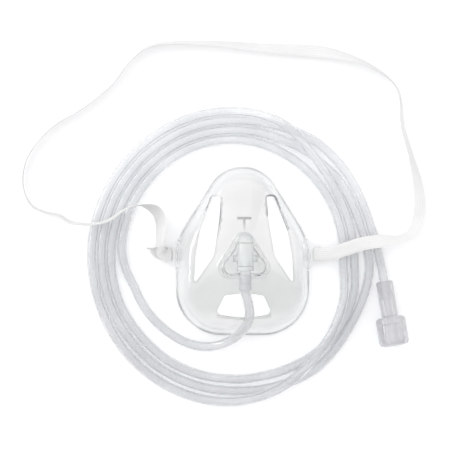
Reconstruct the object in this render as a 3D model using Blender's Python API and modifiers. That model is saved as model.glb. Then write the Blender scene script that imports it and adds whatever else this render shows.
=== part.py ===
"""Open oxygen face mask, lying face up on a table, with its tubing, end connector and elastic strap.

Metres, +Z up, +Y towards the nose end. The origin is on the table, under the middle of the mask.
"""
from math import atan2, cos, pi, radians, sin, tan

import bmesh
import bpy
from mathutils import Matrix, Vector

# Clearance between two pieces that touch, and the one between a part and the hole that it passes through
SEAT_GAP = 0.0003
HOLE_CLEARANCE = 0.0003

# Mask shell: the face outline, seen from above, has a round nose, straight flanks and a wide round chin
SHELL_WALL = 0.0012
FACE_HALF_WIDTH = 0.0438
NOSE_Y = 0.0553
NOSE_CORNER_X = 0.0136
NOSE_RADIUS = 0.0245
SHOULDER_Y = 0.0073
SHOULDER_RADIUS = 0.0420
CHIN_Y = -0.0553
CHIN_RADIUS = 0.0346
LIP_REACH = 0.0065
RIM_RADIUS = 0.0022

# Steep side wall, up to a soft bend, and the front panel that rises from the bend to the seat
WALL_INSET = 0.0062
WALL_HEIGHT = 0.0170
BEND_REACH = 0.0060
DOME_HEIGHT = 0.0270

# Raised seat in the middle of the shell: a rounded triangle that points to the nose
SEAT_CENTRE_Y = -0.0042
SEAT_TIP_Y = 0.01735
SEAT_TIP_RADIUS = 0.0060
SEAT_BASE_Y = -0.0168
SEAT_BASE_HALF = 0.0214
SEAT_BASE_RADIUS = 0.0065
SEAT_FLARE = 0.0013
SEAT_TOP = 0.0340
SEAT_ROUND = 0.0017

# Windows, as corners of (x, y, corner radius); the side window is given for +X and mirrored
SIDE_WINDOW = (
    (0.0140, 0.0362, 0.0022),
    (0.0203, 0.0362, 0.0026),
    (0.0292, 0.0130, 0.0400),
    (0.0320, -0.0040, 0.0400),
    (0.0328, -0.0236, 0.0016),
    (0.0188, -0.0030, 0.0080),
    (0.0152, 0.0200, 0.0300),
)
CHIN_WINDOW = (
    (0.0130, -0.0275, 0.0030),
    (0.0193, -0.0408, 0.0035),
    (0.0000, -0.0440, 0.0600),
    (-0.0193, -0.0408, 0.0035),
    (-0.0130, -0.0275, 0.0030),
    (0.0000, -0.0258, 0.0400),
)

# Slotted ear on each side of the rim
EAR_TOP_Y = 0.0095
EAR_BOTTOM_Y = -0.0135
EAR_REACH = 0.0078
EAR_TIP_HALF = 0.0052
EAR_CENTRE_Y = -0.0020
EAR_LOW = 0.0024
EAR_THICKNESS = 0.0018
EAR_ROUND = 0.0026
SLOT_START = 0.0012
SLOT_OPENING = 0.0028
SLOT_ROUND = 0.0009

# Short rib on the column above the seat, and the low bar across its end
RIB_LENGTH = 0.0100
RIB_WIDTH = 0.0018
RIB_HEIGHT = 0.0018
BAR_HALF_WIDTH = 0.0050
BAR_WIDTH = 0.0016

# Nozzle: a domed barrel across the seat, a stem down through it, two side pegs and a spigot
BARREL_RADIUS = 0.0054
BARREL_NOSE_Y = 0.0118
BARREL_CHIN_Y = -0.0120
BARREL_ROUND = 0.0018
STEM_RADIUS = 0.0045
STEM_BORE = 0.0035
GAS_BORE = 0.0020
PEG_RADIUS = 0.0021
PEG_REACH = 0.0078
NECK_RADIUS = 0.0033
NECK_LENGTH = 0.0021
SPIGOT_LENGTH = 0.0053

# Diffuser cup under the seat, and the mushroom pin that hangs in it
CUP_WALL = 0.0011
CUP_MARGIN = 0.0024
CUP_FLARE = 0.0016
CUP_MOUTH = 0.0160
CUP_ROUND = 0.0012
PORT_COUNT = 4
PORT_RADIUS = 0.0008
PORT_CIRCLE = 0.0026
PIN_PEG_RADIUS = 0.0010
PIN_HEAD_RADIUS = 0.0017
PIN_HEAD_HEIGHT = 0.0008
PIN_SHOULDER_RADIUS = 0.0023
PIN_STEM_RADIUS = 0.0016
PIN_CAP_RADIUS = 0.0055
PIN_LENGTH = 0.0135
PIN_CAP_HEIGHT = 0.0042

# Tubing and the cuff that joins it to the spigot
TUBE_RADIUS = 0.0031
CUFF_WALL = 0.0006
CUFF_LENGTH = 0.0097
COIL_CENTRE = (-0.0064, -0.0036)
COIL_MEAN_RADIUS_X = 0.0829
COIL_MEAN_RADIUS_Y = 0.08605
COIL_WIDTH = 0.0246
COIL_HEIGHT = 0.0066

# Route of the lead after the cuff, over the chin and round to the coil, as chosen points (x, y, z)
LEAD_ROUTE = (
    (0.0010, -0.0285, 0.0385),
    (0.0026, -0.0345, 0.0350),
    (0.0032, -0.0400, 0.0305),
    (0.0024, -0.0450, 0.0255),
    (-0.0004, -0.0500, 0.0205),
    (-0.0042, -0.0546, 0.0155),
    (-0.0098, -0.0588, 0.0102),
    (-0.0165, -0.0615, 0.0062),
    (-0.0245, -0.0625, 0.0038),
    (-0.0330, -0.0612, 0.0031),
    (-0.0411, -0.0579, 0.0031),
    (-0.0494, -0.0525, 0.0031),
    (-0.0569, -0.0460, 0.0031),
    (-0.0632, -0.0382, 0.0031),
    (-0.0680, -0.0302, 0.0031),
    (-0.0711, -0.0225, 0.0031),
)

# Route of the tail, from the outside of the coil up into the connector's sleeve
TAIL_ROUTE = (
    (0.0916, -0.0112, 0.0036),
    (0.0920, -0.0150, 0.0041),
)

# End connector: a sleeve over the tube and a wide push-on cup, resting tilted on the table
SLEEVE_RADIUS = 0.0056
SLEEVE_LENGTH = 0.0240
SLEEVE_MOUTH = (0.0928, -0.0201)
CUP_RADIUS = 0.00985
CUP_LENGTH = 0.0180
SOCKET_DEPTH = 0.0120
BORE_RADIUS = 0.0020
MOUTH_RADIUS = 0.0072
MOUTH_DEPTH = 0.0140
CONNECTOR_ROUND = 0.0022
CONNECTOR_TURN = radians(-81.9)

# Elastic strap, a flat band; its route is chosen points of (x, y, height of its lower edge, lean in degrees)
STRAP_WIDTH = 0.0090
STRAP_THICKNESS = 0.0010
STRAP_TAIL = (
    (-0.0622, 0.0022, 0.0006, 72),
    (-0.0592, 0.0016, 0.0006, 52),
    (-0.0560, 0.0004, 0.0006, 18),
    (-0.0525, -0.0012, 0.0008, 0),
)
STRAP_ROUTE = (
    (-0.0515, -0.0016, 0.0046, 14),
    (-0.0535, 0.0006, 0.0046, 36),
    (-0.0545, 0.0050, 0.0046, 58),
    (-0.0538, 0.0110, 0.0042, 52),
    (-0.0532, 0.0180, 0.0036, 38),
    (-0.0552, 0.0245, 0.0030, 34),
    (-0.0595, 0.0285, 0.0034, 52),
    (-0.0650, 0.0300, 0.0066, 70),
    (-0.0720, 0.0292, 0.0072, 80),
    (-0.0790, 0.0258, 0.0072, 84),
    (-0.0865, 0.0205, 0.0072, 82),
    (-0.0944, 0.0181, 0.0072, 74),
    (-0.1010, 0.0176, 0.0070, 68),
    (-0.1122, 0.0190, 0.0020, 66),
    (-0.1200, 0.0235, 0.0003, 68),
    (-0.1299, 0.0258, 0.0003, 70),
    (-0.1378, 0.0300, 0.0003, 72),
    (-0.1428, 0.0400, 0.0003, 74),
    (-0.1430, 0.0526, 0.0003, 74),
    (-0.1378, 0.0660, 0.0003, 72),
    (-0.1240, 0.0815, 0.0003, 70),
    (-0.1063, 0.0925, 0.0003, 68),
    (-0.0870, 0.1078, 0.0003, 68),
    (-0.0740, 0.1240, 0.0003, 64),
    (-0.0580, 0.1348, 0.0003, 56),
    (-0.0214, 0.1362, 0.0003, 46),
    (0.0181, 0.1330, 0.0003, 34),
    (0.0420, 0.1318, 0.0003, 14),
    (0.0576, 0.1302, 0.0003, 8),
    (0.0773, 0.1248, 0.0003, 24),
    (0.0930, 0.1160, 0.0003, 50),
    (0.1015, 0.1070, 0.0003, 66),
    (0.1042, 0.0960, 0.0003, 72),
    (0.1052, 0.0820, 0.0003, 70),
    (0.1108, 0.0625, 0.0003, 56),
    (0.1156, 0.0428, 0.0003, 46),
    (0.1166, 0.0270, 0.0003, 44),
    (0.1125, 0.0135, 0.0006, 50),
    (0.1030, 0.0076, 0.0040, 52),
    (0.0925, 0.0068, 0.0072, 24),
    (0.0790, 0.0050, 0.0072, 6),
    (0.0670, 0.0012, 0.0074, 0),
    (0.0600, -0.0010, 0.0072, 0),
    (0.0520, -0.0020, 0.0048, 0),
)
STRAP_END_REACH = 0.0052

# Facets
AROUND_SHELL = 64
AROUND_CUP = 48
AROUND_ROUND = 28
LEAD_POINTS = 24
TAIL_POINTS = 8
STRAP_SPAN_STEPS = 2


# Heights and places that follow from the sizes above
BARREL_Z = SEAT_TOP + SEAT_GAP + BARREL_RADIUS
NECK_END_Y = BARREL_CHIN_Y - NECK_LENGTH
EAR_TOP_Z = EAR_LOW + EAR_THICKNESS
CUP_TOP = SEAT_TOP - SHELL_WALL - SEAT_GAP
CUFF_BORE = TUBE_RADIUS + HOLE_CLEARANCE
EAR_TIP_X = FACE_HALF_WIDTH + EAR_REACH
SLOT_INNER_X = FACE_HALF_WIDTH + SLOT_START
SLOT_OUTER_X = SLOT_INNER_X + SLOT_OPENING
SLOT_HALF = STRAP_WIDTH / 2 + HOLE_CLEARANCE


def start_scene():
    """Empty the file and return the part's collection and the one for cutters."""
    for obj in list(bpy.data.objects):
        bpy.data.objects.remove(obj, do_unlink=True)
    part = bpy.data.collections.new("oxygen_face_mask")
    cutters = bpy.data.collections.new("cutters")
    for group in (part, cutters):
        bpy.context.scene.collection.children.link(group)
    return part, cutters


PART, CUTTERS = start_scene()


def plastic(name, colour, roughness, alpha=1.0):
    """Principled material of one colour."""
    material = bpy.data.materials.new(name)
    material.use_nodes = True
    shader = material.node_tree.nodes["Principled BSDF"]
    shader.inputs["Base Color"].default_value = (*colour, 1.0)
    shader.inputs["Roughness"].default_value = roughness
    shader.inputs["Metallic"].default_value = 0.0
    shader.inputs["Alpha"].default_value = alpha
    return material


def add_object(name, data, group):
    obj = bpy.data.objects.new(name, data)
    group.objects.link(obj)
    if group is CUTTERS:
        obj.hide_render = True
        obj.display_type = "WIRE"
    return obj


def add_mesh(name, points, faces, group, edges=()):
    mesh = bpy.data.meshes.new(name)
    mesh.from_pydata([tuple(point) for point in points], list(edges), faces)
    mesh.update()
    return add_object(name, mesh, group)


def combine(obj, tool, operation):
    """Boolean of one object with another, which goes to the cutters."""
    modifier = obj.modifiers.new(operation.lower(), "BOOLEAN")
    modifier.operation = operation
    modifier.solver = "EXACT"
    modifier.object = tool


def shade(obj, angle=35.0):
    """Smooth shading with sharp edges kept above the angle."""
    obj.data.shade_smooth()
    obj.data.set_sharp_from_angle(angle=radians(angle))


def rounded(corners, steps=5):
    """Points of a polygon whose corners (x, y, radius) are replaced by arcs."""
    points = []
    count = len(corners)
    for index, (x, y, radius) in enumerate(corners):
        here = Vector((x, y))
        before = Vector(corners[index - 1][:2]) - here
        after = Vector(corners[(index + 1) % count][:2]) - here
        half = before.angle(after) / 2
        reach = min(radius / tan(half), 0.48 * before.length, 0.48 * after.length)
        arc_radius = reach * tan(half)
        middle = here + (before.normalized() + after.normalized()).normalized() * (arc_radius / sin(half))
        start = here + before.normalized() * reach - middle
        end = here + after.normalized() * reach - middle
        turn = start.angle_signed(end)
        for step in range(steps + 1):
            spoke = start.copy()
            spoke.rotate(Matrix.Rotation(-turn * step / steps, 2))
            points.append(middle + spoke)
    return points


def plate(name, outlines, low, high, group):
    """Flat plate between two heights from closed outlines; an outline inside another is a hole."""
    curve = bpy.data.curves.new(name, "CURVE")
    curve.dimensions = "2D"
    curve.fill_mode = "BOTH"
    curve.extrude = (high - low) / 2
    for outline in outlines:
        spline = curve.splines.new("POLY")
        spline.points.add(len(outline) - 1)
        for point, (x, y) in zip(spline.points, outline):
            point.co = (x, y, 0, 1)
        spline.use_cyclic_u = True
    flat = add_object(name + "_outline", curve, CUTTERS)
    flat.location.z = (low + high) / 2
    return mesh_of_curve(flat, name, group)


def mesh_of_curve(flat, name, group):
    """Welded mesh object that takes a curve's place."""
    bpy.context.view_layer.update()
    graph = bpy.context.evaluated_depsgraph_get()
    mesh = bpy.data.meshes.new_from_object(flat.evaluated_get(graph))
    cage = bmesh.new()
    cage.from_mesh(mesh)
    bmesh.ops.remove_doubles(cage, verts=cage.verts, dist=1e-6)
    bmesh.ops.recalc_face_normals(cage, faces=cage.faces)
    cage.to_mesh(mesh)
    cage.free()
    solid = add_object(name, mesh, group)
    solid.matrix_world = flat.matrix_world
    bpy.data.objects.remove(flat, do_unlink=True)
    return solid


def turned(name, profile, group, closed=False, steps=AROUND_ROUND):
    """Solid of revolution about its own Z from (radius, height) points, run down the outer side."""
    points = [(radius, 0, height) for radius, height in profile]
    edges = [(i, i + 1) for i in range(len(points) - 1)]
    if closed:
        edges.append((len(points) - 1, 0))
    obj = add_mesh(name, points, [], group, edges)
    screw = obj.modifiers.new("turn", "SCREW")
    screw.steps = steps
    screw.render_steps = steps
    screw.use_merge_vertices = True
    screw.merge_threshold = 0.00001
    screw.use_smooth_shade = True
    return obj


def corner_arc(centre, radius, start, end, steps=4):
    """Points of an arc in a profile, from one angle to another in degrees."""
    return [
        (
            centre[0] + radius * cos(radians(start + (end - start) * i / steps)),
            centre[1] + radius * sin(radians(start + (end - start) * i / steps)),
        )
        for i in range(steps + 1)
    ]


def smooth_curve(points, per_span):
    """Points along a smooth curve through the given ones, of any number of values each."""
    rows = [Vector(row) for row in points]
    rows = [2 * rows[0] - rows[1], *rows, 2 * rows[-1] - rows[-2]]
    fine = []
    for a, b, c, d in zip(rows, rows[1:], rows[2:], rows[3:]):
        for step in range(per_span):
            t = step / per_span
            fine.append(
                0.5 * (2 * b + (c - a) * t + (2 * a - 5 * b + 4 * c - d) * t**2 + (3 * b - a - 3 * c + d) * t**3)
            )
    fine.append(rows[-2])
    return fine


def even_points(line, count, closed=False):
    """Evenly spaced points along a line of points; on a closed one the last is not repeated."""
    lengths = [0.0]
    for one, two in zip(line, line[1:]):
        lengths.append(lengths[-1] + (two - one).length)
    even = []
    span = 0
    for index in range(count):
        target = lengths[-1] * index / (count if closed else count - 1)
        while span < len(line) - 2 and lengths[span + 1] < target:
            span += 1
        share = (target - lengths[span]) / (lengths[span + 1] - lengths[span])
        even.append(line[span].lerp(line[span + 1], min(share, 1.0)))
    return even


def tube(name, points, radius, group):
    """Round rod along a route, with closed ends."""
    curve = bpy.data.curves.new(name, "CURVE")
    curve.dimensions = "3D"
    curve.bevel_depth = radius
    curve.bevel_resolution = 4
    curve.use_fill_caps = True
    spline = curve.splines.new("POLY")
    spline.points.add(len(points) - 1)
    for point, place in zip(spline.points, points):
        point.co = (*place, 1)
    return add_object(name, curve, group)


def face_outline(count):
    """Face outline from above, as even points that start at the nose and run towards +X."""
    corners = [
        (NOSE_CORNER_X, NOSE_Y, NOSE_RADIUS),
        (FACE_HALF_WIDTH, SHOULDER_Y, SHOULDER_RADIUS),
        (FACE_HALF_WIDTH, CHIN_Y, CHIN_RADIUS),
    ]
    mirrored = [(-x, y, radius) for x, y, radius in reversed(corners)]
    steps = 24
    right = rounded(corners + mirrored, steps)[:len(corners) * (steps + 1)]
    left = [Vector((-point.x, point.y)) for point in reversed(right)]
    nose = Vector((0, NOSE_Y))
    return even_points([nose, *right, Vector((0, CHIN_Y)), *left, nose], count, closed=True)


def seat_outline():
    """Rounded triangle of the seat from above."""
    return rounded((
        (0, SEAT_TIP_Y, SEAT_TIP_RADIUS),
        (SEAT_BASE_HALF, SEAT_BASE_Y, SEAT_BASE_RADIUS),
        (-SEAT_BASE_HALF, SEAT_BASE_Y, SEAT_BASE_RADIUS),
    ), 12)


SEAT_OUTLINE = seat_outline()


def seat_point(angle, outset=0.0):
    """Point of the seat's outline in a direction from the stem's axis, moved out along that direction."""
    centre = Vector((0, SEAT_CENTRE_Y))
    ray = Vector((cos(angle), sin(angle)))
    for one, two in zip(SEAT_OUTLINE, SEAT_OUTLINE[1:] + SEAT_OUTLINE[:1]):
        before, after = ray.cross(one - centre), ray.cross(two - centre)
        if before != after and before * after <= 0:
            hit = (one - centre).lerp(two - centre, before / (before - after))
            if hit.dot(ray) > 0:
                return centre + ray * (hit.length + outset)
    raise ValueError("the seat's outline does not surround the stem")


def stem_point(angle, radius):
    """Point on a circle about the stem's axis."""
    return Vector((radius * cos(angle), SEAT_CENTRE_Y + radius * sin(angle)))


def front_profile(reach):
    """Points (distance in, height) from the rim over the bend to the seat's foot, which is this far in."""
    rim, bend, foot = Vector((0, RIM_RADIUS)), Vector((WALL_INSET, WALL_HEIGHT)), Vector((reach, DOME_HEIGHT))
    before = bend + (rim - bend).normalized() * BEND_REACH
    after = bend + (foot - bend).normalized() * BEND_REACH
    steps = 4
    points = [rim.lerp(before, 0.5)]
    for step in range(steps + 1):
        share = step / steps
        points.append(before.lerp(bend, share).lerp(bend.lerp(after, share), share))
    return [*points, after.lerp(foot, 0.5), foot]


def panel_height(y):
    """Height of the front panel on the mask's middle line, between the bend and the seat."""
    foot_y = seat_point(pi / 2, SEAT_FLARE).y
    share = (y - foot_y) / (NOSE_Y - WALL_INSET - foot_y)
    return DOME_HEIGHT + (WALL_HEIGHT - DOME_HEIGHT) * share


def skin(name, rings, group, close_last):
    """Open surface through rings that run clockwise from above, lowest first; a fan can close the last."""
    count = len(rings[0])
    points = [point for ring in rings for point in ring]
    faces = []
    for row in range(len(rings) - 1):
        for i in range(count):
            j = (i + 1) % count
            faces.append((row * count + i, (row + 1) * count + i, (row + 1) * count + j, row * count + j))
    if close_last:
        hub = sum((Vector(point) for point in rings[-1]), Vector()) / count
        points.append(hub)
        last = (len(rings) - 1) * count
        faces += [(last + i, len(points) - 1, last + (i + 1) % count) for i in range(count)]
    return add_mesh(name, points, faces, group)


def wall_surface():
    """Outer surface of the shell: lip, rim, dome, raised seat."""
    outline = face_outline(AROUND_SHELL)
    centre = Vector((0, SEAT_CENTRE_Y))
    angles = [atan2(*(point - centre).yx) for point in outline]
    foot = [seat_point(angle, SEAT_FLARE) for angle in angles]
    rings = []

    def inward(distance, height):
        rings.append([
            (*(point + (goal - point).normalized() * distance), height) for point, goal in zip(outline, foot)
        ])

    inward(LIP_REACH, 0)
    for x, z in corner_arc((RIM_RADIUS, RIM_RADIUS), RIM_RADIUS, 270, 180, 3):
        inward(x, z)
    fronts = [front_profile((goal - point).length) for point, goal in zip(outline, foot)]
    for profile in zip(*fronts):
        rings.append([
            (*(point + (goal - point).normalized() * distance), height)
            for point, goal, (distance, height) in zip(outline, foot, profile)
        ])
    seat_profile = [(SEAT_FLARE * 0.35, DOME_HEIGHT + SEAT_FLARE)]
    seat_profile += corner_arc((-SEAT_ROUND, SEAT_TOP - SEAT_ROUND), SEAT_ROUND, 0, 90, 3)
    for outset, height in seat_profile:
        rings.append([(*seat_point(angle, outset), height) for angle in angles])
    rings.append([(*stem_point(angle, STEM_RADIUS * 1.7), SEAT_TOP) for angle in angles])
    return skin("mask_shell", rings, PART, True)


def thicken(obj, thickness):
    modifier = obj.modifiers.new("wall", "SOLIDIFY")
    modifier.thickness = thickness
    modifier.offset = -1
    modifier.use_even_offset = True


def ear_outlines(side):
    """Outline and slot of one ear; its inner side runs inside the rim's wall."""
    inner = [
        Vector((point.x - SHELL_WALL / 2, point.y)) for point in face_outline(180)
        if point.x > 0 and EAR_BOTTOM_Y < point.y < EAR_TOP_Y
    ]
    tip = rounded((
        (inner[-1].x, inner[-1].y, 0.0001),
        (EAR_TIP_X, EAR_CENTRE_Y - EAR_TIP_HALF, EAR_ROUND),
        (EAR_TIP_X, EAR_CENTRE_Y + EAR_TIP_HALF, EAR_ROUND),
        (inner[0].x, inner[0].y, 0.0001),
    ))[6:-6]
    slot = rounded((
        (SLOT_INNER_X, EAR_CENTRE_Y - SLOT_HALF, SLOT_ROUND),
        (SLOT_OUTER_X, EAR_CENTRE_Y - SLOT_HALF, SLOT_ROUND),
        (SLOT_OUTER_X, EAR_CENTRE_Y + SLOT_HALF, SLOT_ROUND),
        (SLOT_INNER_X, EAR_CENTRE_Y + SLOT_HALF, SLOT_ROUND),
    ))
    return [[(side * x, y) for x, y in outline] for outline in (inner + tip, slot)]


def make_shell():
    shell = wall_surface()
    thicken(shell, SHELL_WALL)
    high = SEAT_TOP + SHELL_WALL * 2
    for side, word in ((1, "right"), (-1, "left")):
        window = [(side * x, y) for x, y in rounded(SIDE_WINDOW)]
        combine(shell, plate("side_window_" + word, [window], SHELL_WALL * 3, high, CUTTERS), "DIFFERENCE")
        ear = plate("ear_" + word, ear_outlines(side), EAR_LOW, EAR_TOP_Z, CUTTERS)
        combine(shell, ear, "UNION")
    combine(shell, plate("chin_window", [rounded(CHIN_WINDOW)], SHELL_WALL * 3, high, CUTTERS), "DIFFERENCE")
    stem_hole = turned("stem_hole", cylinder_profile(STEM_RADIUS + HOLE_CLEARANCE, DOME_HEIGHT, high), CUTTERS)
    stem_hole.location.y = SEAT_CENTRE_Y
    combine(shell, stem_hole, "DIFFERENCE")
    combine(shell, make_rib(), "UNION")
    shade(shell)
    return shell


def cylinder_profile(radius, low, high):
    return [(0, high), (radius, high), (radius, low), (0, low)]


def make_rib():
    """Short upright rib from the seat towards the nose, with a low bar across its end."""
    start = seat_point(pi / 2).y - SHELL_WALL / 2
    end = start + RIB_LENGTH
    sunk = SHELL_WALL * 0.75
    outline = rounded((
        (start, panel_height(start) - sunk, 0.0001),
        (end, panel_height(end) - sunk, 0.0001),
        (end, panel_height(end) + RIB_HEIGHT * 0.6, 0.0004),
        (start, panel_height(start) + RIB_HEIGHT, 0.0001),
    ), 3)
    rib = upright_plate("rib", outline, -RIB_WIDTH / 2, RIB_WIDTH / 2)
    bar_start = end - BAR_WIDTH / 2
    bar_end = end + BAR_WIDTH / 2
    bar_outline = rounded((
        (bar_start, panel_height(bar_start) - sunk, 0.0001),
        (bar_end, panel_height(bar_end) - sunk, 0.0001),
        (bar_end, panel_height(bar_end) + RIB_HEIGHT * 0.4, 0.0004),
        (bar_start, panel_height(bar_start) + RIB_HEIGHT * 0.4, 0.0004),
    ), 3)
    combine(rib, upright_plate("rib_bar", bar_outline, -BAR_HALF_WIDTH, BAR_HALF_WIDTH), "UNION")
    return rib


def upright_plate(name, outline, low_x, high_x):
    """Plate whose outline is (y, z), between two places along X."""
    upright = plate(name, [outline], low_x, high_x, CUTTERS)
    upright.matrix_world = Matrix(((0, 0, 1, 0), (1, 0, 0, 0), (0, 1, 0, 0), (0, 0, 0, 1))) @ upright.matrix_world
    return upright


def make_cup():
    """Diffuser cup: a thin rounded-triangle cup, open downwards, with gas ports in its top."""
    profile = [(CUP_FLARE, CUP_MOUTH), (CUP_FLARE, CUP_MOUTH + CUP_WALL)]
    profile += [(CUP_FLARE * 0.2, CUP_MOUTH + CUP_FLARE * 2), (0, CUP_TOP - 3 * CUP_ROUND)]
    profile += corner_arc((-CUP_ROUND, CUP_TOP - CUP_ROUND), CUP_ROUND, 0, 90, 3)
    angles = [-2 * pi * i / AROUND_CUP for i in range(AROUND_CUP)]
    rings = [[(*seat_point(angle, outset - CUP_MARGIN), height) for angle in angles] for outset, height in profile]
    rings.append([(*stem_point(angle, STEM_RADIUS), CUP_TOP) for angle in angles])
    cup = skin("diffuser_cup", rings, PART, True)
    thicken(cup, CUP_WALL)
    holes = [(0, 0, PIN_PEG_RADIUS + HOLE_CLEARANCE)]
    for i in range(PORT_COUNT):
        angle = 2 * pi * (i + 0.5) / PORT_COUNT
        holes.append((PORT_CIRCLE * cos(angle), PORT_CIRCLE * sin(angle), PORT_RADIUS))
    for i, (x, y, hole_radius) in enumerate(holes):
        profile = cylinder_profile(hole_radius, CUP_TOP - CUP_WALL * 2, CUP_TOP + CUP_WALL)
        drill = turned(f"port_{i}", profile, CUTTERS, steps=12)
        drill.location = (x, SEAT_CENTRE_Y + y, 0)
        combine(cup, drill, "DIFFERENCE")
    shade(cup)
    return cup


def make_pin():
    """Mushroom pin, snapped through the middle hole of the cup."""
    head_low = CUP_TOP + SEAT_GAP
    shoulder = CUP_TOP - CUP_WALL - SEAT_GAP
    foot = shoulder - PIN_LENGTH
    cap_top = foot + PIN_CAP_HEIGHT
    profile = [
        (0, head_low + PIN_HEAD_HEIGHT),
        (PIN_PEG_RADIUS, head_low + PIN_HEAD_HEIGHT),
        (PIN_HEAD_RADIUS, head_low + PIN_HEAD_HEIGHT * 0.4),
        (PIN_HEAD_RADIUS, head_low),
        (PIN_PEG_RADIUS, head_low),
        (PIN_PEG_RADIUS, shoulder),
        (PIN_SHOULDER_RADIUS, shoulder),
        (PIN_SHOULDER_RADIUS, shoulder - PIN_STEM_RADIUS / 2),
        (PIN_STEM_RADIUS, shoulder - PIN_STEM_RADIUS),
        (PIN_STEM_RADIUS, cap_top + PIN_STEM_RADIUS / 2),
        (PIN_STEM_RADIUS * 1.3, cap_top),
        (PIN_CAP_RADIUS * 0.92, foot + PIN_CAP_HEIGHT * 0.35),
        (PIN_CAP_RADIUS, foot + PIN_CAP_HEIGHT * 0.2),
        (PIN_CAP_RADIUS * 0.9, foot),
        (0, foot),
    ]
    pin = turned("diffuser_pin", profile, PART, steps=20)
    pin.location.y = SEAT_CENTRE_Y
    return pin


def point_towards(obj, place, direction):
    """Put an object's own Z along a direction."""
    turn = Vector(direction).to_track_quat("Z", "Y").to_matrix().to_4x4()
    obj.matrix_world = Matrix.Translation(place) @ turn


def make_nozzle():
    """Elbow nozzle: barrel along Y, stem down, side pegs along X, spigot to the chin."""
    length = BARREL_NOSE_Y - BARREL_CHIN_Y
    spigot_end = NECK_END_Y - SPIGOT_LENGTH
    total = BARREL_NOSE_Y - spigot_end
    profile = corner_arc((0, -BARREL_RADIUS), BARREL_RADIUS, 90, 0, 6)
    profile += corner_arc((BARREL_RADIUS - BARREL_ROUND, BARREL_ROUND - length), BARREL_ROUND, 0, -90, 3)
    profile += [
        (NECK_RADIUS, -length),
        (NECK_RADIUS, -length - NECK_LENGTH),
        (TUBE_RADIUS, -length - NECK_LENGTH),
        (TUBE_RADIUS, -total),
        (0, -total),
    ]
    nozzle = turned("nozzle_elbow", profile, PART)
    point_towards(nozzle, (0, BARREL_NOSE_Y, BARREL_Z), (0, 1, 0))

    stem_low = CUP_TOP + SEAT_GAP
    stem = turned("stem", cylinder_profile(STEM_RADIUS, stem_low, BARREL_Z), CUTTERS)
    stem.location.y = SEAT_CENTRE_Y
    combine(nozzle, stem, "UNION")
    pegs = turned("side_pegs", cylinder_profile(PEG_RADIUS, -PEG_REACH, PEG_REACH), CUTTERS, steps=16)
    point_towards(pegs, (0, SEAT_CENTRE_Y, BARREL_Z), (1, 0, 0))
    combine(nozzle, pegs, "UNION")

    stem_bore = turned("stem_bore", cylinder_profile(STEM_BORE, stem_low - 0.001, BARREL_Z), CUTTERS, steps=20)
    stem_bore.location.y = SEAT_CENTRE_Y
    combine(nozzle, stem_bore, "DIFFERENCE")
    gas_length = SEAT_CENTRE_Y - spigot_end
    gas_bore = turned("gas_bore", cylinder_profile(GAS_BORE, -0.001, gas_length), CUTTERS, steps=16)
    point_towards(gas_bore, (0, spigot_end, BARREL_Z - GAS_BORE / 3), (0, 1, 0))
    combine(nozzle, gas_bore, "DIFFERENCE")
    shade(nozzle)
    return nozzle


def make_cuff():
    """Sleeve over the spigot and the end of the tube."""
    outer = CUFF_BORE + CUFF_WALL
    edge = CUFF_WALL * 0.6
    profile = [
        (CUFF_BORE, 0),
        (outer - edge, 0),
        (outer, -edge),
        (outer, edge - CUFF_LENGTH),
        (outer - edge, -CUFF_LENGTH),
        (CUFF_BORE, -CUFF_LENGTH),
    ]
    cuff = turned("tubing_cuff", profile, PART, closed=True)
    point_towards(cuff, (0, NECK_END_Y - SEAT_GAP, BARREL_Z), (0, 1, 0))
    return cuff


def make_lead():
    """Tube from the spigot's end, out of the cuff and round to the inside of the coil."""
    start_y = NECK_END_Y - SPIGOT_LENGTH - SEAT_GAP
    cuff_end = NECK_END_Y - SEAT_GAP - CUFF_LENGTH
    route = [(0, start_y, BARREL_Z), (0, cuff_end, BARREL_Z), *LEAD_ROUTE]
    return tube("tubing_lead", even_points(smooth_curve(route, 12), LEAD_POINTS), TUBE_RADIUS, PART)


def make_coil():
    """Outer shape of the coiled turns, which lie beside each other in one flat ring."""
    half = COIL_WIDTH / 2
    edge = COIL_HEIGHT / 2
    profile = corner_arc((COIL_MEAN_RADIUS_X + half - edge, edge), edge, 90, -90, 6)
    profile += corner_arc((COIL_MEAN_RADIUS_X - half + edge, edge), edge, -90, -270, 6)
    coil = turned("tubing_coil", profile, PART, closed=True, steps=64)
    coil.location = (*COIL_CENTRE, 0)
    coil.scale.y = COIL_MEAN_RADIUS_Y / COIL_MEAN_RADIUS_X
    return coil


def connector_frame():
    """Place of the sleeve's mouth and the connector's direction, resting on mouth edge and shoulder."""
    shoulder = SLEEVE_LENGTH + CONNECTOR_ROUND
    tilt = atan2(CUP_RADIUS - SLEEVE_RADIUS, shoulder)
    direction = Vector((cos(CONNECTOR_TURN) * cos(tilt), sin(CONNECTOR_TURN) * cos(tilt), sin(tilt)))
    return Vector((*SLEEVE_MOUTH, SLEEVE_RADIUS * cos(tilt))), direction


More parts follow.
